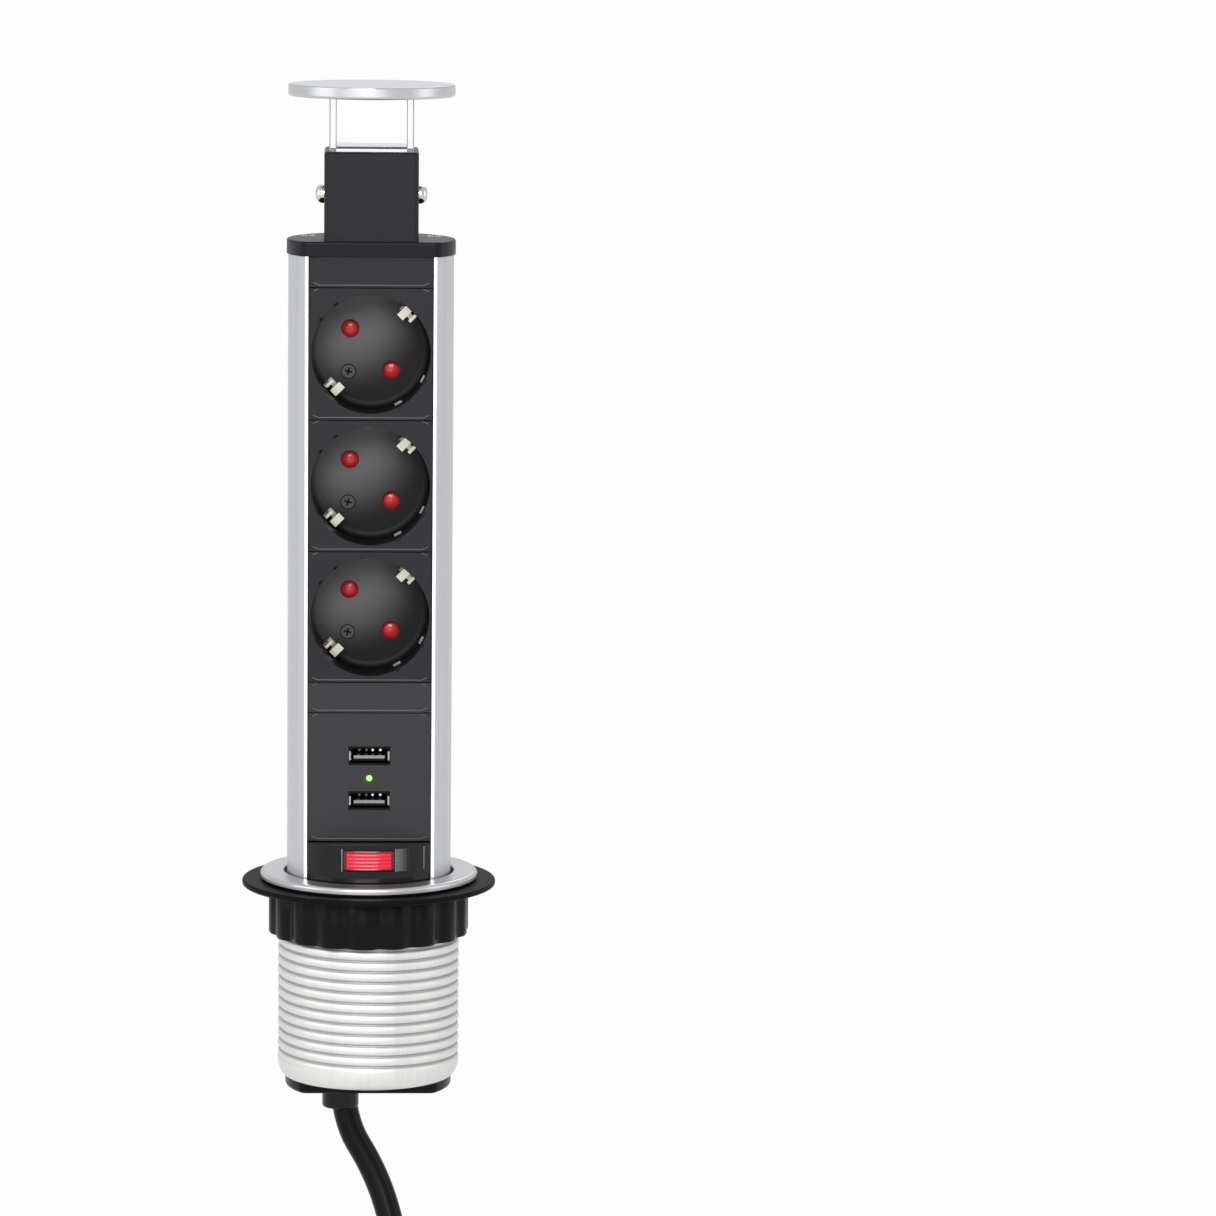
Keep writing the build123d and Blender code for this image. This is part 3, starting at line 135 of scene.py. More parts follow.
class NodeBoard:
    """The nodes of one material or world."""

    def __init__(self, tree: bpy.types.NodeTree) -> None:
        """Clears the tree."""
        self.tree = tree
        tree.nodes.clear()

    def add(self, kind: str, inputs: Optional[Dict[Any, Any]] = None, **settings: Any) -> Node:
        """Adds a node.

        Args:
            kind: The node's type.
            inputs: Values, signals or sockets by input name or number.
            **settings: The node's settings, which are set first.

        Returns:
            The node.
        """
        node = self.tree.nodes.new(kind)
        for name, value in settings.items():
            setattr(node, name, value)
        for name, value in (inputs or {}).items():
            self.feed(node, name, value)
        return node

    def feed(self, node: Node, name: Union[str, int], value: Any) -> None:
        """Sets or links one input of a node.

        Args:
            node: The node.
            name: The input's name or number.
            value: A signal or socket to link, or a value to set.
        """
        target = node.inputs[name]
        if isinstance(value, Signal):
            value = value.socket
        if isinstance(value, Socket):
            self.tree.links.new(value, target)
        elif target.type == "RGBA" and len(value) == 3:
            target.default_value = (*value, 1.0)
        else:
            target.default_value = value

    def signal(self, node: Node, output: Union[str, int] = 0) -> Signal:
        """One output of a node as a signal."""
        return Signal(self, node.outputs[output])

    def place(self) -> Tuple[Signal, Signal, Signal]:
        """The point's X, Y and Z in the object's own frame."""
        parts = self.add("ShaderNodeSeparateXYZ", {0: self.spot()})
        return self.signal(parts, 0), self.signal(parts, 1), self.signal(parts, 2)

    def spot(self) -> Socket:
        """The point in the object's own frame."""
        return self.add("ShaderNodeTexCoord").outputs["Object"]

    def blend(self, factor: Any, first: Any, second: Any) -> Socket:
        """Mixes two colours or sockets, by the second's share."""
        made = self.add("ShaderNodeMix", {0: factor, 6: first, 7: second}, data_type="RGBA")
        return made.outputs[2]

    def bump(self, shader: Node, height: Signal, depth: float) -> None:
        """Gives a shader relief."""
        made = self.add("ShaderNodeBump", {"Strength": 1.0, "Distance": depth, "Height": height})
        self.feed(shader, "Normal", made.outputs[0])


@dataclass(frozen=True)
class Pattern:
    """The grain of a surface: how fine it is and how much it changes."""

    noise: Noise
    scale: float
    bump: float
    tone_change: float
    rough_change: float


@dataclass(frozen=True)
class Finish:
    """One surface finish of the socket tower."""

    name: str
    colour: Colour
    roughness: float
    metallic: float = 0.0
    pattern: Optional[Pattern] = None
    specular: float = 0.5
    clear: bool = False
    glow: Optional[Colour] = None
    glow_strength: float = 0.0

    def material(self) -> bpy.types.Material:
        """Makes the finish.

        Returns:
            The material.
        """
        made = bpy.data.materials.new(self.name)
        made.use_nodes = True
        board = NodeBoard(made.node_tree)
        shader = board.add(
            "ShaderNodeBsdfPrincipled",
            {
                "Roughness": self.roughness,
                "Metallic": self.metallic,
                "IOR": 1.46,
                "Specular IOR Level": self.specular,
                "Transmission Weight": 1.0 if self.clear else 0.0,
            },
        )
        if self.glow is not None:
            board.feed(shader, "Emission Color", self.glow)
            board.feed(shader, "Emission Strength", self.glow_strength)
        tone: Any = self.colour
        if self.pattern is not None:
            tone = self._break_up(board, shader, self.pattern)
        board.feed(shader, "Base Color", self.tint(board, tone))
        self.relief(board, shader)
        board.add("ShaderNodeOutputMaterial", {"Surface": shader.outputs[0]})
        return made

    def tint(self, board: NodeBoard, tone: Any) -> Any:
        """Changes the colour by place; a plain finish keeps it."""
        return tone

    def relief(self, board: NodeBoard, shader: Node) -> None:
        """Adds relief or dullness of its own; a plain finish has none."""

    def _break_up(self, board: NodeBoard, shader: Node, pattern: Pattern) -> Any:
        """Adds the pattern to the roughness, the relief and the colour.

        Args:
            board: The material's nodes.
            shader: The shader that they feed.
            pattern: The pattern.

        Returns:
            The colour's socket.
        """
        place = board.spot()
        stretch = {"Vector": place, "Scale": pattern.noise.value}
        mapped = board.add("ShaderNodeMapping", stretch).outputs[0]
        fine = {"Vector": mapped, "Scale": pattern.scale, "Detail": 3.0, "Roughness": 0.6}
        grain = board.signal(board.add("ShaderNodeTexNoise", fine))
        broad = {"Vector": place, "Scale": 28.0, "Detail": 2.0}
        drift = board.signal(board.add("ShaderNodeTexNoise", broad))
        board.feed(shader, "Roughness", self.roughness + (drift - 0.5) * pattern.rough_change)
        if pattern.bump:
            board.bump(shader, grain, pattern.bump)
        dark = tuple(c * (1 - pattern.tone_change) for c in self.colour)
        light = tuple(min(1.0, c * (1 + pattern.tone_change)) for c in self.colour)
        return board.blend(grain, dark, light)


@dataclass(frozen=True)
class ProfileFinish(Finish):
    """Anodised extrusion with a painted highlight on its front lips."""

    # lip colour: painted highlight where the front lips catch light
    lip_highlight: Colour = (0.97, 0.97, 0.97)
    lip_start: float = PANEL_FRONT
    lip_end: float = -16.45 * MM

    def tint(self, board: NodeBoard, tone: Any) -> Any:
        """Paints a highlight on the lips."""
        _, y, _ = board.place()
        return board.blend(y.ramp(self.lip_start, self.lip_end), tone, self.lip_highlight)


@dataclass(frozen=True)
class GrooveFinish(Finish):
    """Silver sleeve with painted shade in its grooves."""

    # groove colour: painted shade in the grooves
    groove_shade: Colour = (0.39, 0.39, 0.39)
    crest: float = 29.84 * MM
    shallow: float = 0.12 * MM
    deep: float = 0.74 * MM
    lowest: float = -60.2 * MM
    fade: float = 0.3 * MM

    def tint(self, board: NodeBoard, tone: Any) -> Any:
        """Paints shade into the grooves by their radius.

        Args:
            board: The material's nodes.
            tone: The sleeve's colour.

        Returns:
            The colour's socket.
        """
        x, y, z = board.place()
        sunk = (x * x + y * y).root().ramp(self.crest - self.shallow, self.crest - self.deep)
        above = z.ramp(self.lowest, self.lowest + self.fade)
        return board.blend(sunk * above, tone, self.groove_shade)


@dataclass(frozen=True)
class RecessFinish(Finish):
    """Black socket insert with a lighter floor in its recess, painted lightest at its upper left as
    a pool of light and darker towards its rim as shade.
    """

    centre_z: float = 0.0
    # floor and rim colours: the floor's lightest part is a painted pool of light, its fall to the
    # rim painted shade
    floor: Colour = (0.108, 0.108, 0.112)
    rim: Colour = (0.002, 0.002, 0.0025)
    mouth: float = -15.9 * MM
    inside: float = -14.0 * MM
    # centre of the painted pool of light on the recess floor
    light_x: float = -8.0 * MM
    light_z: float = 11.0 * MM
    near: float = 8.0 * MM
    far: float = 26.0 * MM
    rim_dull: float = 0.15

    def _fall(self, board: NodeBoard) -> Tuple[Signal, Signal]:
        """Works out where the recess lies and how it falls off to its rim.

        Args:
            board: The material's nodes.

        Returns:
            The fall from the recess's lightest point, and what lies within the recess.
        """
        x, y, z = board.place()
        across, up = x - self.light_x, z - (self.centre_z + self.light_z)
        reach = (across * across + up * up).root()
        return reach.ramp(self.near, self.far), y.ramp(self.mouth, self.inside)

    def tint(self, board: NodeBoard, tone: Any) -> Any:
        """Sets the floor off from the plate, with painted light at its upper left and painted shade
        darkening it to its rim.
        """
        fall, within = self._fall(board)
        return board.blend(within, tone, board.blend(fall, self.floor, self.rim))

    def relief(self, board: NodeBoard, shader: Node) -> None:
        """Lets the recess grow duller towards its rim."""
        fall, within = self._fall(board)
        board.feed(shader, "Roughness", self.roughness + fall * within * self.rim_dull)


@dataclass(frozen=True)
class ButtonFinish(Finish):
    """Glossy red button with fine ribs and painted shade at its edges."""

    # edge: dark red of the painted shade at the button's border
    edge: Colour = (0.10, 0.001, 0.006)
    half_width: float = 8.0 * MM
    centre_z: float = 10.2 * MM
    half_height: float = 3.4 * MM
    border: float = 1.1 * MM
    dark_rim: float = 0.4 * MM
    rib_pitch: float = 1.15 * MM
    rib_depth: float = 0.07 * MM

    def _border(self, across: Signal, half: float) -> Signal:
        """The border at both ends of a width or height."""
        return (across * across).root().ramp(half - self.border, half - self.dark_rim)

    def tint(self, board: NodeBoard, tone: Any) -> Any:
        """Paints shade on the border.

        Args:
            board: The material's nodes.
            tone: The button's colour.

        Returns:
            The colour's socket.
        """
        x, _, z = board.place()
        sides = self._border(x, self.half_width)
        ends = self._border(z - self.centre_z, self.half_height)
        return board.blend(sides.greatest(ends), tone, self.edge)

    def relief(self, board: NodeBoard, shader: Node) -> None:
        """Adds the ribs."""
        _, _, z = board.place()
        board.bump(shader, (z * (2 * math.pi / self.rib_pitch)).sine(), self.rib_depth)


@dataclass(frozen=True)
class SheenFinish(Finish):
    """Painted reflection beside the release window that dies away sideways."""

    start: float = 8.9 * MM
    end: float = 13.6 * MM
    dark: Colour = (0.0035, 0.0035, 0.004)

    def tint(self, board: NodeBoard, tone: Any) -> Any:
        """Darkens the sheen away from the window."""
        x, _, _ = board.place()
        return board.blend(x.ramp(self.start, self.end), tone, self.dark)


FINE_GRAIN = Pattern(Noise.GRAIN, 3000.0, 0.000015, 0.05, 0.06)
STEEL_BRUSH = Pattern(Noise.BRUSHED, 500.0, 0.0, 0.05, 0.08)
CONTACT_BRUSH = Pattern(Noise.BRUSHED, 500.0, 0.0, 0.04, 0.08)

SATIN_SILVER = Finish(
    "satin silver",
    (0.54, 0.545, 0.56),
    0.33,
    0.95,
    Pattern(Noise.GRAIN, 1600.0, 0.000005, 0.06, 0.08),
)
PROFILE_SILVER = ProfileFinish(
    "profile silver",
    (0.55, 0.555, 0.575),
    0.38,
    0.75,
    Pattern(Noise.BRUSHED, 900.0, 0.0, 0.13, 0.06),
)
SLEEVE_SILVER = GrooveFinish(
    "sleeve silver",
    (0.72, 0.725, 0.71),
    0.47,
    0.65,
    Pattern(Noise.BRUSHED, 600.0, 0.0, 0.09, 0.06),
)
BLACK_PANEL = Finish("black panel", (0.0115, 0.0108, 0.0145), 0.42, 0.0, FINE_GRAIN, 0.28)
RECESS_BLACKS = tuple(
    RecessFinish(
        f"socket black {number}",
        BLACK_PANEL.colour,
        BLACK_PANEL.roughness,
        pattern=FINE_GRAIN,
        specular=BLACK_PANEL.specular,
        centre_z=height * MM,
    )
    for number, height in enumerate((174.3, 131.5, 88.7), 1)
)
BLACK_HOUSING = Finish("black housing", (0.0085, 0.008, 0.0112), 0.38, 0.0, FINE_GRAIN, 0.15)
STEM_HOUSING = Finish("stem housing", (0.0182, 0.0174, 0.021), 0.38, 0.0, FINE_GRAIN, 0.15)
LOWER_PANEL = Finish("lower panel", (0.0292, 0.0282, 0.0318), 0.42, 0.0, FINE_GRAIN, 0.28)
BLACK_FITTING = Finish(
    "black fitting",
    (0.0035, 0.0035, 0.004),
    0.30,
    pattern=Pattern(Noise.GRAIN, 2000.0, 0.00001, 0.05, 0.08),
    specular=0.13,
)
BLACK_WASHER = Finish(
    "black washer",
    (0.0035, 0.0035, 0.004),
    0.5,
    pattern=Pattern(Noise.GRAIN, 420.0, 0.00009, 0.1, 0.1),
    specular=0.07,
)
GLOSS_BLACK = Finish(
    "gloss black",
    (0.0035, 0.0035, 0.004),
    0.10,
    pattern=Pattern(Noise.GRAIN, 900.0, 0.0, 0.03, 0.04),
    specular=0.35,
)
LEAD_BLACK = Finish(
    "lead sheath",
    (0.0035, 0.0035, 0.004),
    0.26,
    pattern=Pattern(Noise.GRAIN, 900.0, 0.0, 0.05, 0.08),
    specular=0.14,
)
RUBBER = Finish(
    "rubber", (0.01, 0.01, 0.01), 0.75, 0.0, Pattern(Noise.GRAIN, 1500.0, 0.00002, 0.05, 0.05)
)
GLAND_BLACK = Finish("gland black", (0.0025, 0.0025, 0.003), 0.14, specular=0.3)
DEEP_BLACK = Finish("deep black", (0.003, 0.003, 0.003), 0.6, specular=0.1)
# painted highlight on the tabs at the slot ends
TAB_HIGHLIGHT = Finish("tab highlight", (0.26, 0.26, 0.27), 0.35)
# painted highlight along the panels' edges
PANEL_EDGE_HIGHLIGHT = Finish("panel edge highlight", (0.072, 0.071, 0.079), 0.35)
WINDOW_EDGE_HIGHLIGHT = Finish("window edge highlight", (0.22, 0.22, 0.24), 0.3)
# painted reflection beside the release window
WINDOW_SHEEN = SheenFinish("window sheen", (0.13, 0.13, 0.138), 0.2, specular=0.35)
CLEAR_STEM = Finish("clear plastic", (0.958, 0.953, 0.972), 0.02, clear=True)
# Painted light on the clear stem: a bright band at its foot, grey shade lines at its edges and
# floor.
STEM_BAND_HIGHLIGHT = Finish("stem foot highlight band", (0.92, 0.92, 0.93), 0.3)
STEM_EDGE_SHADE = Finish("stem edge shade", (0.30, 0.30, 0.33), 0.3)
STEM_FLOOR_SHADE = Finish("stem floor shade line", (0.05, 0.05, 0.058), 0.4)
SCREW_DARK = Finish("dark screw", (0.040, 0.040, 0.042), 0.35)
# near-black: painted shade on the steel port shells, also used on the tongues
PORT_SHADE_BLACK = Finish("shaded port shell", (0.006, 0.006, 0.006), 0.4, specular=0.1)
# painted highlight on the ends of the steel port shells
PORT_END_HIGHLIGHT = Finish("port end highlight", (0.36, 0.36, 0.37), 0.3)
TONGUE_EDGE = Finish("tongue edge", (0.26, 0.26, 0.26), 0.4)
# One contact metal, as painted shade (shaded) and as painted light (lit).
SHADED_CONTACT = Finish("shaded contact", (0.05, 0.05, 0.05), 0.4)
LIT_CONTACT = Finish("lit contact", (0.62, 0.62, 0.60), 0.3)
# painted light: the lamp's green halo on the panel
LAMP_HALO_RING = Finish("lamp halo ring", (0.022, 0.085, 0.006), 0.3, specular=0.2)
LAMP_GREEN = Finish("green lamp", (0.1, 0.3, 0.05), 0.3, glow=(0.62, 1.0, 0.30), glow_strength=0.85)
BUTTON_RED = ButtonFinish("button red", (0.78, 0.014, 0.045), 0.16)
SHUTTER_RED = Finish("shutter red", (0.56, 0.028, 0.034), 0.2)
STEEL = Finish("bright steel", (0.62, 0.60, 0.54), 0.16, 1.0, STEEL_BRUSH)
NICKEL = Finish("nickel", (0.50, 0.485, 0.445), 0.3, 1.0, CONTACT_BRUSH)
BRASS = Finish("brass", (0.80, 0.60, 0.28), 0.28, 1.0, CONTACT_BRUSH)
CORE_BROWN = Finish("brown core", (0.14, 0.055, 0.02), 0.4)
CORE_BLUE = Finish("blue core", (0.02, 0.08, 0.36), 0.4)
CORE_GREEN = Finish("green core", (0.09, 0.36, 0.06), 0.4)
BOARD_GREEN = Finish("circuit board", (0.004, 0.03, 0.012), 0.4)
TAPE_YELLOW = Finish("yellow tape", (0.66, 0.48, 0.07), 0.45)

NODE_FINISHES: Dict[str, Finish] = {
    **dict.fromkeys(("shutter_1", "shutter_2", "shutter_3"), SHUTTER_RED),
    **dict.fromkeys(("usb_port_1", "usb_port_2", "usb_tongues"), PORT_SHADE_BLACK),
    **dict.fromkeys(("blank_panel_lower", "usb_panel"), LOWER_PANEL),
    **dict.fromkeys(("cord_gland", "gland_nut"), GLAND_BLACK),
    **{f"socket_insert_{number}": black for number, black in enumerate(RECESS_BLACKS, 1)},
    "socket_screws": SCREW_DARK,
    "usb_contacts": SHADED_CONTACT,
    "tower_profile": PROFILE_SILVER,
    "stem_housing": STEM_HOUSING,
    "foot_cap": BLACK_FITTING,
}

SLOT_FINISHES: Dict[str, Finish] = {
    "satin_silver": SATIN_SILVER,
    "silver_sleeve": SLEEVE_SILVER,
    "black_rubber": RUBBER,
    "black_washer": BLACK_WASHER,
    "black_plastic": BLACK_HOUSING,
    "black_panel": BLACK_PANEL,
    "gloss_black": GLOSS_BLACK,
    "red_plastic": BUTTON_RED,
    "clear_plastic": CLEAR_STEM,
    "steel": STEEL,
    "contact_brass": BRASS,
    "nickel_contact": NICKEL,
    "brown_core": CORE_BROWN,
    "blue_core": CORE_BLUE,
    "green_core": CORE_GREEN,
    "board_green": BOARD_GREEN,
    "green_light": LAMP_GREEN,
    "yellow_tape": TAPE_YELLOW,
    "black_cord": LEAD_BLACK,
    "black_tie": BLACK_HOUSING,
}


class Paint:
    """Makes each finish once and puts it on pieces."""

    def __init__(self) -> None:
        """Starts with no materials."""
        self._made: Dict[str, bpy.types.Material] = {}

    def dress(self, piece: bpy.types.Object, finish: Finish) -> None:
        """Puts a finish on all of a piece.

        Args:
            piece: The piece.
            finish: Its finish, which is made where it is first used.
        """
        if finish.name not in self._made:
            self._made[finish.name] = finish.material()
        piece.data.materials.clear()
        piece.data.materials.append(self._made[finish.name])


PAINT = Paint()


def placed(name: str, data: bpy.types.ID) -> bpy.types.Object:
    """Makes an object and puts it in the scene.

    Args:
        name: The object's name.
        data: Its mesh, curve, lamp or camera.

    Returns:
        The object.
    """
    made = bpy.data.objects.new(name, data)
    bpy.context.scene.collection.objects.link(made)
    return made


class Work:
    """A mesh on the bench, shaped by operators and then handed over as one piece."""

    def __init__(self) -> None:
        """Starts with an empty mesh."""
        self.shape = bmesh.new()

    def shift(self, verts: Verts, offset: Sequence[float]) -> None:
        """Moves some vertices."""
        bmesh.ops.translate(self.shape, verts=verts, vec=offset)

    def turn(self, verts: Verts, angle: float, axis: str) -> None:
        """Turns some vertices about an axis through the origin."""
        matrix = Matrix.Rotation(angle, 3, axis)
        bmesh.ops.rotate(self.shape, verts=verts, cent=(0, 0, 0), matrix=matrix)

    def box(self, low: Sequence[float], high: Sequence[float]) -> Verts:
        """Adds a block.

        Args:
            low: Its lowest corner.
            high: Its highest corner.

        Returns:
            Its vertices.
        """
        made = bmesh.ops.create_cube(self.shape, size=1.0)["verts"]
        bmesh.ops.scale(self.shape, verts=made, vec=[b - a for a, b in zip(low, high)])
        self.shift(made, [(a + b) / 2 for a, b in zip(low, high)])
        return made

    def plate(self, width: float, height: float, front: float, back: float) -> Verts:
        """Adds an upright plate in the middle, from its front's Y to its back's Y."""
        return self.box((-width / 2, front, -height / 2), (width / 2, back, height / 2))

    def disc(self, centre: Point, radius: float, depth: float, sides: int) -> None:
        """Adds a round disc that faces forwards.

        Args:
            centre: Its middle.
            radius: Its radius.
            depth: Its depth from front to back.
            sides: How many sides the circle has.
        """
        made = bmesh.ops.create_cone(
            self.shape, cap_ends=True, segments=sides, radius1=radius, radius2=radius, depth=depth
        )["verts"]
        self.turn(made, QUARTER_TURN, "X")
        self.shift(made, centre)

    def sweep(self, geom: Sequence[Any], turns: float, steps: int, rise: float = 0.0) -> None:
        """Sweeps edges round Z.

        Args:
            geom: The edges with their vertices.
            turns: How many turns the sweep takes.
            steps: How many steps it takes in all.
            rise: How far it climbs in all; without a rise its start and end merge.
        """
        bmesh.ops.spin(
            self.shape,
            geom=geom,
            cent=(0, 0, 0),
            axis=(0, 0, 1),
            dvec=(0, 0, rise / steps),
            angle=2 * math.pi * turns,
            steps=steps,
            use_merge=not rise,
        )

    def turned(self, profile: Sequence[Tuple[float, float]], steps: int) -> None:
        """Spins a closed profile about Z.

        Args:
            profile: Radii and heights, in order.
            steps: How many steps the round takes.
        """
        verts = [self.shape.verts.new((radius, 0.0, height)) for radius, height in profile]
        edges = [self.shape.edges.new(pair) for pair in zip(verts, verts[1:] + verts[:1])]
        self.sweep(verts + edges, 1, steps)
        self.close()

    def flat_ring(self, radii: Tuple[float, float], front: float, back: float, steps: int) -> None:
        """Adds a flat ring round Y.

        Args:
            radii: Its inner and outer radius.
            front: The Y of its front.
            back: The Y of its back.
            steps: How many steps the round takes.
        """
        inner, outer = radii
        self.turned(((inner, front), (outer, front), (outer, back), (inner, back)), steps)
        self.turn(self.shape.verts, -QUARTER_TURN, "X")

    def close(self) -> None:
        """Merges doubles and turns the faces outwards."""
        bmesh.ops.remove_doubles(self.shape, verts=self.shape.verts, dist=1e-7)
        bmesh.ops.recalc_face_normals(self.shape, faces=self.shape.faces)

    def grow(self, edges: Edges) -> Tuple[Verts, Edges]:
        """Draws new faces out of edges.

        Args:
            edges: The edges.

        Returns:
            The new vertices and edges.
        """
        drawn = bmesh.ops.extrude_edge_only(self.shape, edges=edges)["geom"]
        verts = [part for part in drawn if isinstance(part, bmesh.types.BMVert)]
        return verts, [part for part in drawn if isinstance(part, bmesh.types.BMEdge)]

    def open_edges(self) -> Edges:
        """The edges where the mesh ends."""
        return [edge for edge in self.shape.edges if edge.is_boundary]

    @staticmethod
    def edges_of(verts: Verts) -> Edges:
        """The edges at some vertices, each once."""
        return list(dict.fromkeys(edge for vert in verts for edge in vert.link_edges))

    def round_over(self, edges: Edges, radius: float, segments: int) -> None:
        """Rounds some edges."""
        bmesh.ops.bevel(
            self.shape,
            geom=edges,
            offset=radius,
            segments=segments,
            profile=0.5,
            affect="EDGES",
            material=-1,
            clamp_overlap=True,
        )

    def hand_over(
        self, name: str, body: str, finish: Finish, crease: float = 35.0
    ) -> bpy.types.Object:
        """Makes the mesh a piece.

        Args:
            name: The piece's name.
            body: The body that carries it.
            finish: Its finish.
            crease: Angle in degrees above which an edge stays sharp.

        Returns:
            The piece.
        """
        mesh = bpy.data.meshes.new(name)
        self.shape.to_mesh(mesh)
        self.shape.free()
        for face in mesh.polygons:
            face.use_smooth = True
        mesh.set_sharp_from_angle(angle=math.radians(crease))
        piece = placed(name, mesh)
        PAINT.dress(piece, finish)
        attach(piece, body)
        log.info("%s on %s", name, body)
        return piece


@dataclass
class DeskFitting:
    """What stays at the desk: ribbed sleeve and scalloped nut."""

    crest: float = 29.84 * MM
    rib_depth: float = 0.8 * MM
    pitch: float = 3.5 * MM
    first_groove: float = -59.4 * MM
    last_groove: float = -2.4 * MM
    top_slope: float = 1.2 * MM
    foot_slope: float = 0.15 * MM
    skin_gap: float = 0.14 * MM
    rib_gap: float = 0.02 * MM
    rib_steps: int = 96
    rib_weld: float = 2e-6
    rib_root: float = 0.965
    sleeve_steps: int = 128
    bore: float = 27.9 * MM
    lip_bore: float = 27.0 * MM
    lip_height: float = 3.0 * MM
    foot_heights: Tuple[float, ...] = (5.0, 4.0, 3.0, 2.1, 1.3, 0.6, 0.15, 0.0)
    foot_drops: Tuple[float, ...] = (0.0, 0.1, 0.3, 0.62, 1.0, 1.48, 1.9, 2.14)
    rib_half: Pairs = ((0.0, 1.0), (0.05, 0.94), (0.11, 0.6), (0.19, 0.3), (0.3, 0.09), (0.42, 0.0))
    nut_lobes: int = 18
    lobe_sides: int = 16
    lobe_power: float = 1.6
    nut_crest: float = 32.95 * MM
    nut_valley: float = 31.45 * MM
    nut_bore: float = 30.0 * MM
    nut_crest_angle: float = 266.5
    nut_edge: float = 1.0 * MM
    top_rings: Pairs = ((1.0 * MM, 1.0), (0.3 * MM, 0.988), (0.0, 0.965))
    foot_rings: Pairs = ((0.3 * MM, 0.988), (0.0, 0.968))

    def build(self) -> None:
        """Makes the pieces."""
        self._sleeve()
        self._nut()

    def _sleeve(self) -> None:
        """Makes the sleeve with its round left-hand ribs."""
        low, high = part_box("threaded_sleeve")
        work = Work()
        skin = self.crest - self.rib_depth - self.skin_gap
        work.turned(
            (
                (self.bore, high.z),
                (self.crest, high.z),
                (self.crest, self.last_groove + self.top_slope),
                (skin, self.last_groove),
                (skin, self.first_groove + self.foot_slope),
                (self.crest, self.first_groove),
                *(
                    (self.crest - drop * MM, low.z + rise * MM)
                    for rise, drop in zip(self.foot_heights, self.foot_drops)
                ),
                (self.lip_bore, low.z),
                (self.lip_bore, low.z + self.lip_height),
                (self.bore, low.z + self.lip_height),
            ),
            self.sleeve_steps,
        )
        ribs = work.shape
        crest = self.crest - self.rib_gap
        other_half = ((1.0 - share, drop) for share, drop in reversed(self.rib_half))
        verts = [
            ribs.verts.new(
                (crest - drop * self.rib_depth, 0.0, self.last_groove + (share - 1.0) * self.pitch)
            )
            for share, drop in (*self.rib_half, *other_half)
        ]
        edges = [ribs.edges.new(pair) for pair in zip(verts, verts[1:])]
        turns = round((self.last_groove - self.first_groove) / self.pitch)
        work.sweep(verts + edges, turns, self.rib_steps * turns, -self.pitch * turns)
        bmesh.ops.remove_doubles(ribs, verts=ribs.verts, dist=self.rib_weld)
        inner, _ = work.grow(work.open_edges())
        bmesh.ops.scale(ribs, verts=inner, vec=(self.rib_root, self.rib_root, 1.0))
        bmesh.ops.recalc_face_normals(ribs, faces=ribs.faces)
        sleeve = work.hand_over("ribbed_sleeve", "base", SLEEVE_SILVER, 50.0)
        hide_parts("threaded_sleeve")

    def _nut(self) -> None:
        """Makes the nut with its soft lobes."""
        low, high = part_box("clamp_nut")
        work = Work()
        outline = bmesh.ops.create_circle(
            work.shape,
            cap_ends=False,
            segments=self.nut_lobes * self.lobe_sides,
            radius=self.nut_crest,
        )["verts"]
        for vert in outline:
            angle = math.degrees(math.atan2(vert.co.y, vert.co.x)) - self.nut_crest_angle
            wave = 0.5 - 0.5 * math.cos(math.radians(angle * self.nut_lobes))
            hollow = (self.nut_crest - self.nut_valley) * wave**self.lobe_power
            vert.co = vert.co.normalized() * (self.nut_crest - hollow)
        work.shift(outline, (0, 0, low.z + self.nut_edge))
        ring = list(work.shape.edges)
        top = self._nut_end(work, ring, high.z, -1, self.top_rings)
        foot = self._nut_end(work, ring, low.z, 1, self.foot_rings)
        bmesh.ops.bridge_loops(work.shape, edges=top + foot)
        work.close()
        piece = work.hand_over("scalloped_nut", "nut", BLACK_FITTING, 40.0)
        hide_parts("clamp_nut")

    def _nut_end(self, work: Work, ring: Edges, end: float, inward: int, rings: Pairs) -> Edges:
        """Rounds one end of the nut and closes it down to the bore.

        Args:
            work: The nut's mesh.
            ring: The ring of edges that the end starts from.
            end: The end's height.
            inward: 1 for the lower end, -1 for the upper one.
            rings: Each further ring's distance from the end and share of the ring before.

        Returns:
            The bore's ring.
        """
        for inset, share in rings:
            verts, ring = work.grow(ring)
            for vert in verts:
                vert.co = Vector((vert.co.x * share, vert.co.y * share, end + inward * inset))
        verts, ring = work.grow(ring)
        for vert in verts:
            flat = Vector((vert.co.x, vert.co.y, 0.0)).normalized() * self.nut_bore
            vert.co = Vector((flat.x, flat.y, end))
        return ring


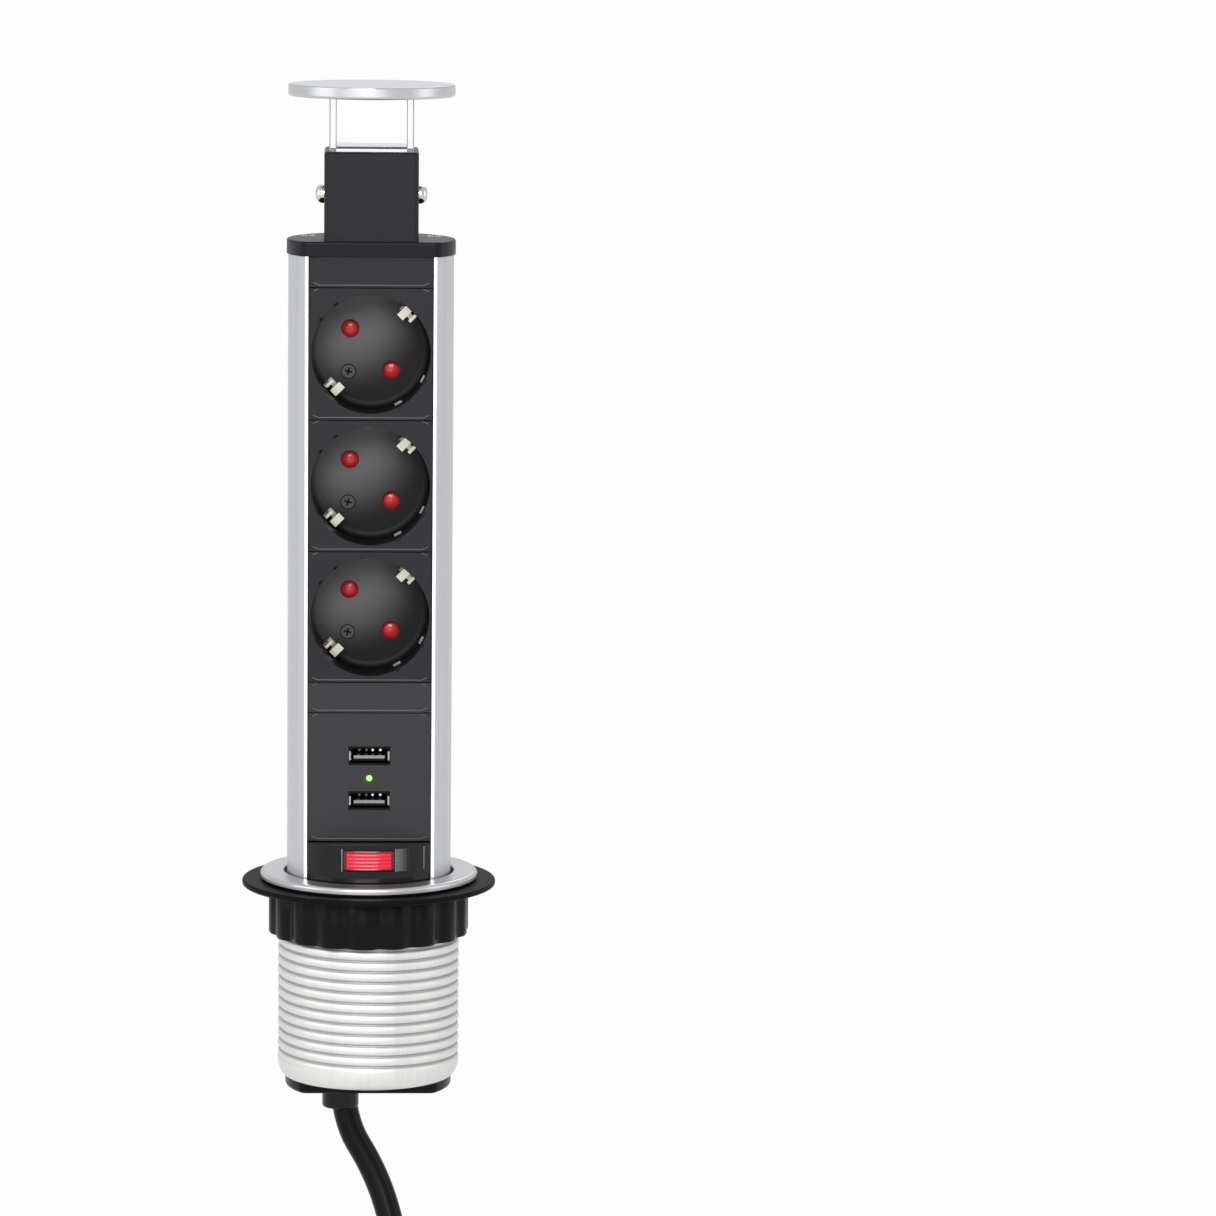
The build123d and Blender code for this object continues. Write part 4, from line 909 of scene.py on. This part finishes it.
@dataclass
class CapAndStem:
    """Clear stem with painted grey shade lines at its edges and floor, and a painted bright band at
    its foot.
    """

    wall: float = 2.2 * MM
    floor: float = 1.6 * MM
    film: float = 0.02 * MM
    corner: float = 0.5 * MM
    corner_steps: int = 4
    edge: float = 0.26 * MM
    edge_inset: float = 0.2 * MM
    edge_gap: float = 0.1 * MM
    proud: float = 0.03 * MM
    # spans of the painted shade lines and the painted bright bands
    shade_line_span: Tuple[float, float] = (1.1 * MM, 1.8 * MM)
    highlight_band_span: Tuple[float, float] = (0.15 * MM, 1.05 * MM)

    def build(self) -> None:
        """Makes the pieces."""
        self._stem()
        self._edges()

    def _stem(self) -> None:
        """Makes the clear stem, which is hollow and has only a film at its top."""
        low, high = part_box("clear_stem")
        work = Work()
        upright = [
            edge
            for edge in work.edges_of(work.box(low, high))
            if abs(edge.verts[0].co.z - edge.verts[1].co.z) > MM
        ]
        work.round_over(upright, self.corner, self.corner_steps)
        inner = work.box(
            (low.x + self.wall, low.y + self.wall, low.z + self.floor),
            (high.x - self.wall, high.y - self.wall, high.z - self.film),
        )
        walls = dict.fromkeys(face for vert in inner for face in vert.link_faces)
        bmesh.ops.reverse_faces(work.shape, faces=list(walls))
        stem = work.hand_over("stem_walls", "cap", CLEAR_STEM)
        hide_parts("clear_stem")

    def _edges(self) -> None:
        """Makes the painted shade lines in which the stem's edges and floor show, and the painted
        bright bands at its foot.
        """
        low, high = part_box("clear_stem")
        work = Work()
        top = high.z - self.edge_gap
        for side in (-1, 1):
            x = side * (high.x - self.edge_inset)
            for y in (high.y - self.edge_inset, self.edge_inset - high.y):
                self._bar(work, x, y, low.z + self.edge_gap, top)
            x = side * (high.x - self.wall)
            self._bar(work, x, self.wall - high.y, low.z + self.floor, top)
        work.hand_over("stem_edge_shade_lines", "cap", STEM_EDGE_SHADE)
        reach = high.x - self.wall
        for name, (foot, head), finish in (
            ("stem_floor_shade_lines", self.shade_line_span, STEM_FLOOR_SHADE),
            ("stem_foot_highlight_bands", self.highlight_band_span, STEM_BAND_HIGHLIGHT),
        ):
            lines = Work()
            foot, head = low.z + foot, low.z + head
            for x in (low.x, high.x):
                lines.box((x - self.proud, -reach, foot), (x + self.proud, reach, head))
            lines.box((-reach, low.y - self.proud, foot), (reach, low.y + self.proud, head))
            lines.hand_over(name, "cap", finish)

    def _bar(self, work: Work, x: float, y: float, foot: float, head: float) -> None:
        """Adds a fine upright bar."""
        half = self.edge / 2
        work.box((x - half, y - half, foot - half), (x + half, y + half, head + half))


@dataclass(frozen=True)
class Spring:
    """Coil spring made at rest in its node's place."""

    name: str
    node: str
    joint: str
    upright: bool
    coil: float
    wire: float
    turns: float
    travel: float
    wire_sides: int = 12
    turn_steps: int = 32

    def build(self) -> None:
        """Makes the spring in its node's place."""
        low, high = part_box(self.node)
        length = high.z - low.z if self.upright else high.y - low.y
        work = Work()
        start = Matrix.Translation((self.coil, 0, 0)) @ Matrix.Rotation(QUARTER_TURN, 4, "X")
        ring = bmesh.ops.create_circle(
            work.shape, radius=self.wire, segments=self.wire_sides, matrix=start
        )["verts"]
        steps = round(self.turns * self.turn_steps)
        work.sweep(ring + work.edges_of(ring), self.turns, steps, length - 2 * self.wire)
        bmesh.ops.holes_fill(work.shape, edges=work.open_edges(), sides=0)
        bmesh.ops.recalc_face_normals(work.shape, faces=work.shape.faces)
        middle = (low + high) / 2
        if self.upright:
            foot = (middle.x, middle.y, low.z + self.wire)
        else:
            foot = (middle.x, high.y - self.wire, middle.z)
            work.turn(work.shape.verts, QUARTER_TURN, "X")
        work.shift(work.shape.verts, foot)
        piece = work.hand_over(self.name, "tower", STEEL)
        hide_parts(self.node)
        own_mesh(piece)


SPRINGS = (
    Spring("cap_coil", "cap_spring", "cap_press", True, 5.5 * MM, 0.5 * MM, 6.5, 9.6 * MM),
    Spring(
        "release_coil", "release_spring", "release_press", False, 2.6 * MM, 0.4 * MM, 4.5, 2.2 * MM
    ),
)


@dataclass
class SocketFace:
    """Small things in one socket's recess."""

    number: int
    floor_y: float = 1.2 * MM
    screw_distance: float = 10.3 * MM
    screw_angle: float = 225.0
    ring_radii: Tuple[float, float] = (2.2 * MM, 2.48 * MM)
    ring_rise: float = 0.22 * MM
    ring_sink: float = 0.03 * MM
    ring_steps: int = 48
    cross_length: float = 2.5 * MM
    cross_width: float = 0.55 * MM
    cross_rise: float = 0.04 * MM
    cross_sink: float = 0.3 * MM
    cross_turn: float = 0.25
    recess: float = 19.3 * MM
    tab_angles: Tuple[float, ...] = (298.0, 332.0)
    tab_width: float = 2.6 * MM
    tab_height: float = 0.7 * MM
    tab_span: Tuple[float, float] = (-6.5 * MM, -4.3 * MM)
    tab_edge: float = 0.12 * MM
    tab_inset: float = 0.3 * MM
    # marks: painted shade in the guide notches
    mark_angles: Tuple[float, ...] = (125.0, 145.0)
    mark_width: float = 1.4 * MM
    mark_height: float = 0.8 * MM
    mark_span: Tuple[float, float] = (-16.33 * MM, -15.8 * MM)
    mark_inset: float = 0.1 * MM

    @property
    def centre_z(self) -> float:
        """Height of the recess's centre."""
        low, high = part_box(f"socket_insert_{self.number}")
        return (low.z + high.z) / 2

    def build(self) -> None:
        """Makes the pieces of the recess."""
        self._screw()
        self._tabs()
        self._notch_shade_marks()

    def _screw(self) -> None:
        """Makes the dark ring round the screw and the driver's cross in its head."""
        angle = math.radians(self.screw_angle)
        x = self.screw_distance * math.cos(angle)
        z = self.centre_z + self.screw_distance * math.sin(angle)
        ring = Work()
        front, back = self.floor_y - self.ring_rise, self.floor_y + self.ring_sink
        ring.flat_ring(self.ring_radii, front, back, self.ring_steps)
        ring.shift(ring.shape.verts, (x, 0, z))
        ring.hand_over(f"screw_ring_{self.number}", "tower", DEEP_BLACK)
        cross = Work()
        front, back = self.floor_y - self.cross_rise, self.floor_y + self.cross_sink
        for width, height in (
            (self.cross_width, self.cross_length),
            (self.cross_length, self.cross_width),
        ):
            arm = cross.plate(width, height, front, back)
            cross.turn(arm, self.cross_turn, "Y")
            cross.shift(arm, (x, 0, z))
        cross.hand_over(f"driver_cross_{self.number}", "tower", DEEP_BLACK)

    def _tabs(self) -> None:
        """Makes the light tabs on the recess's lower wall, whose light grey is a painted highlight
        where the slot ends catch light.
        """
        work = Work()
        for angle in self.tab_angles:
            tab = work.plate(self.tab_width, self.tab_height, *self.tab_span)
            self._to_rim(work, tab, angle, self.recess - self.tab_inset)
            work.round_over(work.edges_of(tab), self.tab_edge, 2)
        work.hand_over(f"recess_tab_highlights_{self.number}", "tower", TAB_HIGHLIGHT)

    def _notch_shade_marks(self) -> None:
        """Makes dark marks of painted shade in the guide notches at the recess's upper left rim."""
        work = Work()
        for angle in self.mark_angles:
            mark = work.plate(self.mark_width, self.mark_height, *self.mark_span)
            radius = self.recess + self.mark_height / 2 - self.mark_inset
            self._to_rim(work, mark, angle, radius)
        work.hand_over(f"notch_shade_marks_{self.number}", "tower", DEEP_BLACK)

    def _to_rim(self, work: Work, verts: Verts, angle: float, radius: float) -> None:
        """Moves a plate from the middle to the recess's rim.

        Args:
            work: The mesh.
            verts: The plate's vertices.
            angle: Its place on the rim in degrees, from the right and upwards.
            radius: Its distance from the recess's centre.
        """
        work.shift(verts, (0, 0, radius))
        work.turn(verts, math.radians(90.0 - angle), "Y")
        work.shift(verts, (0, 0, self.centre_z))


@dataclass
class ChargerFace:
    """Painted highlights on the ends of the port shells, tongue edges, contacts of the ports in
    painted light and shade, and the ring round the lamp, which paints its halo.
    """

    end_width: float = 0.55 * MM
    end_height: float = 2.9 * MM
    end_proud: float = 0.04 * MM
    end_depth: float = 0.5 * MM
    tongue_width: float = 10.0 * MM
    tongue_height: float = 0.95 * MM
    tongue_drop: float = 0.45 * MM
    tongue_span: Tuple[float, float] = (0.5 * MM, 0.9 * MM)
    contact_rise: float = 1.9 * MM
    contact_radius: float = 0.42 * MM
    contact_depth: float = 0.5 * MM
    contact_sink: float = 0.6 * MM
    contact_sides: int = 24
    shaded_places: Tuple[float, ...] = (-3.2 * MM, -0.9 * MM)
    lit_places: Tuple[float, ...] = (1.1 * MM, 3.6 * MM)
    ring_radii: Tuple[float, float] = (1.0 * MM, 1.75 * MM)
    ring_proud: float = 0.06 * MM
    ring_depth: float = 0.3 * MM
    ring_steps: int = 48

    def build(self) -> None:
        """Makes the pieces of the charger panel."""
        for number in (1, 2):
            self._port(number)
        self._lamp_halo_ring()

    def _port(self, number: int) -> None:
        """Makes the painted highlights, the tongue edge and the painted lit and shaded contacts of
        one port.

        Args:
            number: The port's number, from the top.
        """
        low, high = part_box(f"usb_port_{number}")
        middle = (low.z + high.z) / 2
        # painted highlights on the ends of the port's shell
        ends = Work()
        for side in (-1, 1):
            end = ends.plate(
                self.end_width, self.end_height, low.y - self.end_proud, low.y + self.end_depth
            )
            ends.shift(end, (side * (high.x - self.end_width / 2), 0, middle))
        ends.hand_over(f"port_end_highlights_{number}", "tower", PORT_END_HIGHLIGHT)
        tongue = Work()
        front, back = (low.y + depth for depth in self.tongue_span)
        edge = tongue.plate(self.tongue_width, self.tongue_height, front, back)
        tongue.shift(edge, (0, 0, middle - self.tongue_drop))
        tongue.hand_over(f"tongue_edge_{number}", "tower", TONGUE_EDGE)
        # dim and bright contacts: painted shade and painted light on one metal
        for kind, places, finish in (
            ("dim", self.shaded_places, SHADED_CONTACT),
            ("bright", self.lit_places, LIT_CONTACT),
        ):
            dots = Work()
            for place in places:
                centre = (place, low.y + self.contact_sink, middle + self.contact_rise)
                dots.disc(centre, self.contact_radius, self.contact_depth, self.contact_sides)
            dots.hand_over(f"{kind}_contacts_{number}", "tower", finish)

    def _lamp_halo_ring(self) -> None:
        """Makes the dark green ring round the lamp, which is its glow painted as a halo."""
        low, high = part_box("led_light_pipe")
        face = min(PANEL_FRONT, low.y)
        work = Work()
        work.flat_ring(
            self.ring_radii, face - self.ring_proud, face + self.ring_depth, self.ring_steps
        )
        work.shift(work.shape.verts, ((low.x + high.x) / 2, 0, (low.z + high.z) / 2))
        work.hand_over("lamp_halo_ring", "tower", LAMP_HALO_RING)


@dataclass
class ReleaseFace:
    """Painted highlights along the edges of the window that the red button stands in, and its
    painted sheen.
    """

    radius: float = 26.7 * MM
    bottom: float = 6.6 * MM
    top: float = 14.0 * MM
    proud: float = 0.03 * MM
    depth: float = 0.3 * MM
    # edges: strips of painted highlight along the window's and housing's edges
    edges: Pairs = ((-8.75 * MM, 0.35 * MM), (8.7 * MM, 0.3 * MM), (17.9 * MM, 0.35 * MM))
    # sheen: strips of painted reflection
    sheen: Pairs = tuple((x * MM, 1.24 * MM) for x in (9.5, 10.7, 11.9, 13.1))

    def build(self) -> None:
        """Makes the painted edge highlights and the painted sheen."""
        for name, strips, finish in (
            ("window_edge_highlights", self.edges, WINDOW_EDGE_HIGHLIGHT),
            ("window_sheen", self.sheen, WINDOW_SHEEN),
        ):
            work = Work()
            for x, width in strips:
                self._strip(work, x, width)
            work.hand_over(name, "tower", finish)

    def _strip(self, work: Work, x: float, width: float) -> None:
        """Adds an upright strip that lies on the round housing.

        Args:
            work: The mesh.
            x: The strip's place from the middle.
            width: Its width.
        """
        strip = work.box((-width / 2, -self.proud, self.bottom), (width / 2, self.depth, self.top))
        work.turn(strip, math.asin(x / self.radius), "Z")
        work.shift(strip, (x, -math.sqrt(self.radius**2 - x**2), 0))


@dataclass
class PanelSeams:
    """Fine strips of painted highlight along the panels' edges."""

    length: float = 33.8 * MM
    height: float = 0.34 * MM
    rise: float = 0.55 * MM
    rounding: float = 0.05 * MM
    wedge: float = 1.9 * MM
    slant: float = math.radians(24.0)
    joint: float = 1.2 * MM
    proud: float = 0.03 * MM
    depth: float = 0.2 * MM
    nodes: Tuple[str, ...] = (
        "blank_panel_top",
        "socket_insert_1",
        "socket_insert_2",
        "socket_insert_3",
        "blank_panel_lower",
        "usb_panel",
    )

    def build(self) -> None:
        """Makes the highlight strips."""
        work = Work()
        for name in self.nodes:
            low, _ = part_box(name)
            level = low.z + self.rise + self.height / 2
            highlight = self._highlight_strip(work, self.length)
            work.shift(highlight, (0, 0, level))
            work.round_over(work.edges_of(highlight), self.rounding, 2)
            for side in (-1, 1):
                self._wedge(work, side, -1, level - self.joint)
                self._wedge(work, side, 1, level)
        work.hand_over("panel_edge_highlights", "tower", PANEL_EDGE_HIGHLIGHT)

    def _highlight_strip(self, work: Work, length: float) -> Verts:
        """Adds a strip of painted highlight in the middle of the panels' front."""
        return work.plate(length, self.height, PANEL_FRONT - self.proud, PANEL_FRONT + self.depth)

    def _wedge(self, work: Work, side: int, tilt: int, level: float) -> None:
        """Adds the slanting highlight strip at the end of a seam.

        Args:
            work: The mesh.
            side: -1 for the left end, 1 for the right.
            tilt: 1 for the upper strip, -1 for the lower one.
            level: The height that it starts from.
        """
        highlight = self._highlight_strip(work, self.wedge)
        work.turn(highlight, -side * tilt * self.slant, "Y")
        out = self.length / 2 + math.cos(self.slant) * self.wedge / 2
        up = tilt * math.sin(self.slant) * self.wedge / 2
        work.shift(highlight, (side * out, 0, level + up))


@dataclass
class EndScrews:
    """Crosses in the heads of the four end screws."""

    reach: float = 20.5 * MM
    back: float = 11.0 * MM
    length: float = 2.8 * MM
    width: float = 0.6 * MM
    proud: float = 0.03 * MM

    def build(self) -> None:
        """Makes the crosses."""
        low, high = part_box("end_screws")
        work = Work()
        for side in (-1, 1):
            for z in (low.z, high.z):
                for across, along in ((self.width, self.length), (self.length, self.width)):
                    x, y = side * self.reach, self.back
                    work.box(
                        (x - across / 2, y - along / 2, z - self.proud),
                        (x + across / 2, y + along / 2, z + self.proud),
                    )
        work.hand_over("end_screw_crosses", "tower", DEEP_BLACK)


@dataclass
class MainsLead:
    """The free lead with its hank and plug."""

    radius: float = 4.2 * MM
    total_length: float = 1.5
    exit_point: Point = (-9.1 * MM, 0.0, -58.0 * MM)
    round_steps: int = 8
    length_steps: int = 10
    route: Tuple[Point, ...] = (
        (-0.0091, 0.0, -0.058),
        (-0.0091, 0.0, -0.0801),
        (0.0029, -0.0028, -0.099),
        (0.0092, -0.0085, -0.119),
        (0.0129, -0.0129, -0.1405),
        (0.0139, -0.0131, -0.165),
        (0.0138, -0.013, -0.1985),
        (0.0138, -0.013, -0.2285),
    )
    hank_start: Point = (0.0142, -0.013, -0.243)
    loop: Tuple[Point, ...] = (
        (0.0285, 0.0, -0.289),
        (0.0312, 0.0, -0.328),
        (-0.0212, 0.0, -0.328),
        (-0.0185, 0.0008, -0.289),
        (-0.0032, 0.0048, -0.2369),
        (-0.0185, 0.0088, -0.185),
        (-0.0212, 0.0096, -0.1458),
        (0.0312, 0.0096, -0.1458),
        (0.0285, 0.0096, -0.185),
        (0.0132, 0.0096, -0.2369),
    )
    loop_backs: Tuple[float, ...] = (-0.013, -0.0034, 0.0062)
    to_plug: Tuple[Point, ...] = (
        (0.0302, 0.0162, -0.176),
        (0.0165, 0.0262, -0.206),
        (0.005, 0.0345, -0.234),
        (0.005, 0.0345, -0.2453),
        (0.005, 0.0345, -0.25),
    )

    def build(self) -> None:
        curve = bpy.data.curves.new("mains_lead", "CURVE")
        curve.dimensions = "3D"
        curve.bevel_depth = self.radius
        curve.bevel_resolution = self.round_steps
        curve.resolution_u = self.length_steps
        curve.use_fill_caps = True
        loops = [(x, back + y, z) for back in self.loop_backs for x, y, z in self.loop]
        points = [*self.route, self.hank_start, *loops[:-2], *self.to_plug]
        spline = curve.splines.new("NURBS")
        spline.points.add(len(points) - 1)
        for place, target in zip(points, spline.points):
            target.co = (*place, 1.0)
        spline.order_u = 3
        spline.use_endpoint_u = True
        lead = placed("mains_lead", curve)
        PAINT.dress(lead, LEAD_BLACK)
        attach(lead, "tower")
        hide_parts("cord_free", "cord_hank")
        log.info("mains lead with %d points", len(points))


@dataclass
class Studio:
    """Floor, lamps and world."""

    floor_z: float = -0.66
    reach: float = 30.0
    floor_grey: float = 0.86
    floor_white: float = 0.97
    world_light: float = 0.4
    world_mirrored: float = 0.8

    def build(self) -> None:
        """Makes the studio."""
        self._floor()
        self._world()
        self._lamp("front", (-0.2, -2.9, 1.55), (0.0, 0.0, 0.05), (1.8, 1.1), 66.0)
        self._lamp("wide", (-0.7, -3.2, 0.1), (0.0, 0.0, 0.05), (3.2, 1.0), 9.0)
        self._lamp("left", (-1.9, -0.7, 0.7), (0.0, 0.0, 0.0), (1.3, 1.6), 9.0)
        self._lamp("right", (2.0, -0.4, 0.5), (0.0, 0.0, 0.0), (0.9, 1.6), 5.0)
        self._lamp("back", (0.4, 2.2, 1.9), (0.0, 0.0, -0.05), (1.4, 1.0), 8.0)

    @staticmethod
    def _rays(board: NodeBoard) -> Tuple[Signal, Signal]:
        """Tells rays that show the background from others.

        Args:
            board: The nodes.

        Returns:
            Straight rays, also through clear plastic, and mirrored rays.
        """
        rays = board.add("ShaderNodeLightPath")
        through = board.signal(rays, "Is Transmission Ray")
        straight = board.signal(rays, "Is Camera Ray").greatest(through)
        return straight, board.signal(rays, "Is Glossy Ray")

    def _floor(self) -> None:
        """Makes the pale floor, which shows white and keeps a soft shadow."""
        mesh = bpy.data.meshes.new("floor")
        shape = bmesh.new()
        bmesh.ops.create_grid(shape, x_segments=1, y_segments=1, size=self.reach)
        bmesh.ops.translate(shape, verts=shape.verts, vec=(0.0, 0.0, self.floor_z))
        shape.to_mesh(mesh)
        shape.free()
        floor = placed("floor", mesh)
        made = bpy.data.materials.new("pale floor")
        made.use_nodes = True
        board = NodeBoard(made.node_tree)
        matt = board.add("ShaderNodeBsdfDiffuse", {"Color": (self.floor_grey,) * 3})
        white = board.add("ShaderNodeEmission", {"Color": (1.0, 1.0, 1.0), "Strength": 1.0})
        straight, mirrored = self._rays(board)
        share = straight.greatest(mirrored) * self.floor_white
        parts = {0: share, 1: matt.outputs[0], 2: white.outputs[0]}
        mixed = board.add("ShaderNodeMixShader", parts)
        board.add("ShaderNodeOutputMaterial", {"Surface": mixed.outputs[0]})
        floor.data.materials.append(made)

    def _world(self) -> None:
        """Sets a world that shows white and lights softly."""
        world = bpy.data.worlds.new("studio")
        bpy.context.scene.world = world
        world.use_nodes = True
        board = NodeBoard(world.node_tree)
        straight, mirrored = self._rays(board)
        light = self.world_light
        shown = (straight * (1.0 - light)).greatest(mirrored * (self.world_mirrored - light))
        sky = {"Color": (1.0, 1.0, 1.0), "Strength": shown + light}
        made = board.add("ShaderNodeBackground", sky)
        board.add("ShaderNodeOutputWorld", {"Surface": made.outputs[0]})

    @staticmethod
    def _lamp(
        name: str, place: Point, target: Point, size: Tuple[float, float], power: float
    ) -> None:
        """Adds an area lamp.

        Args:
            name: Its name.
            place: Where it stands.
            target: What it points at.
            size: Width and height.
            power: Watts.
        """
        data = bpy.data.lights.new(name, "AREA")
        data.shape = "RECTANGLE"
        data.size, data.size_y = size
        data.energy = power
        lamp = placed(name, data)
        lamp.location = place
        direction = Vector(target) - Vector(place)
        lamp.rotation_euler = direction.to_track_quat("-Z", "Y").to_euler()


@dataclass
class PhotoCamera:
    """The photograph's viewpoint."""

    focal_pixels: float = 5679.7
    distance: float = 1840.4 * MM
    height: float = 352.9 * MM
    pitch: float = 8.13
    yaw: float = 2.425
    roll: float = 0.573
    clip: Tuple[float, float] = (0.05, 200.0)

    def build(self) -> None:
        """Adds the camera and makes it the scene's."""
        data = bpy.data.cameras.new("photo_camera")
        data.sensor_fit = "HORIZONTAL"
        data.sensor_width = SENSOR
        data.lens = SENSOR * self.focal_pixels / IMAGE_SIZE
        data.clip_start, data.clip_end = self.clip
        camera = placed("photo_camera", data)
        camera.location = (0.0, -self.distance, self.height)
        turn = (
            Matrix.Rotation(math.radians(-self.yaw), 4, "Z")
            @ Matrix.Rotation(math.radians(90.0 - self.pitch), 4, "X")
            @ Matrix.Rotation(math.radians(self.roll), 4, "Z")
        )
        camera.rotation_euler = turn.to_euler()
        bpy.context.scene.camera = camera


def dress_frame() -> None:
    """Puts the finishes on the CAD nodes by their names or material slots."""
    slots = {entry["node"]: entry["material_slot"] for entry in frame["record"]["subparts"]}
    for name, node in frame["nodes"].items():
        finish = NODE_FINISHES.get(name, SLOT_FINISHES[slots[name]])
        PAINT.dress(node, finish)
        log.info("%s in %s", name, finish.name)


def main() -> None:
    """Builds the socket tower and its studio."""
    logging.basicConfig(level=logging.INFO, format="%(message)s")
    bpy.context.scene.view_settings.view_transform = "Standard"
    dress_frame()
    PhotoCamera().build()
    MainsLead().build()
    DeskFitting().build()
    CapAndStem().build()
    for spring in SPRINGS:
        spring.build()
    for number in (1, 2, 3):
        SocketFace(number).build()
    ChargerFace().build()
    ReleaseFace().build()
    PanelSeams().build()
    EndScrews().build()
    Studio().build()


if __name__ == "__main__":
    main()
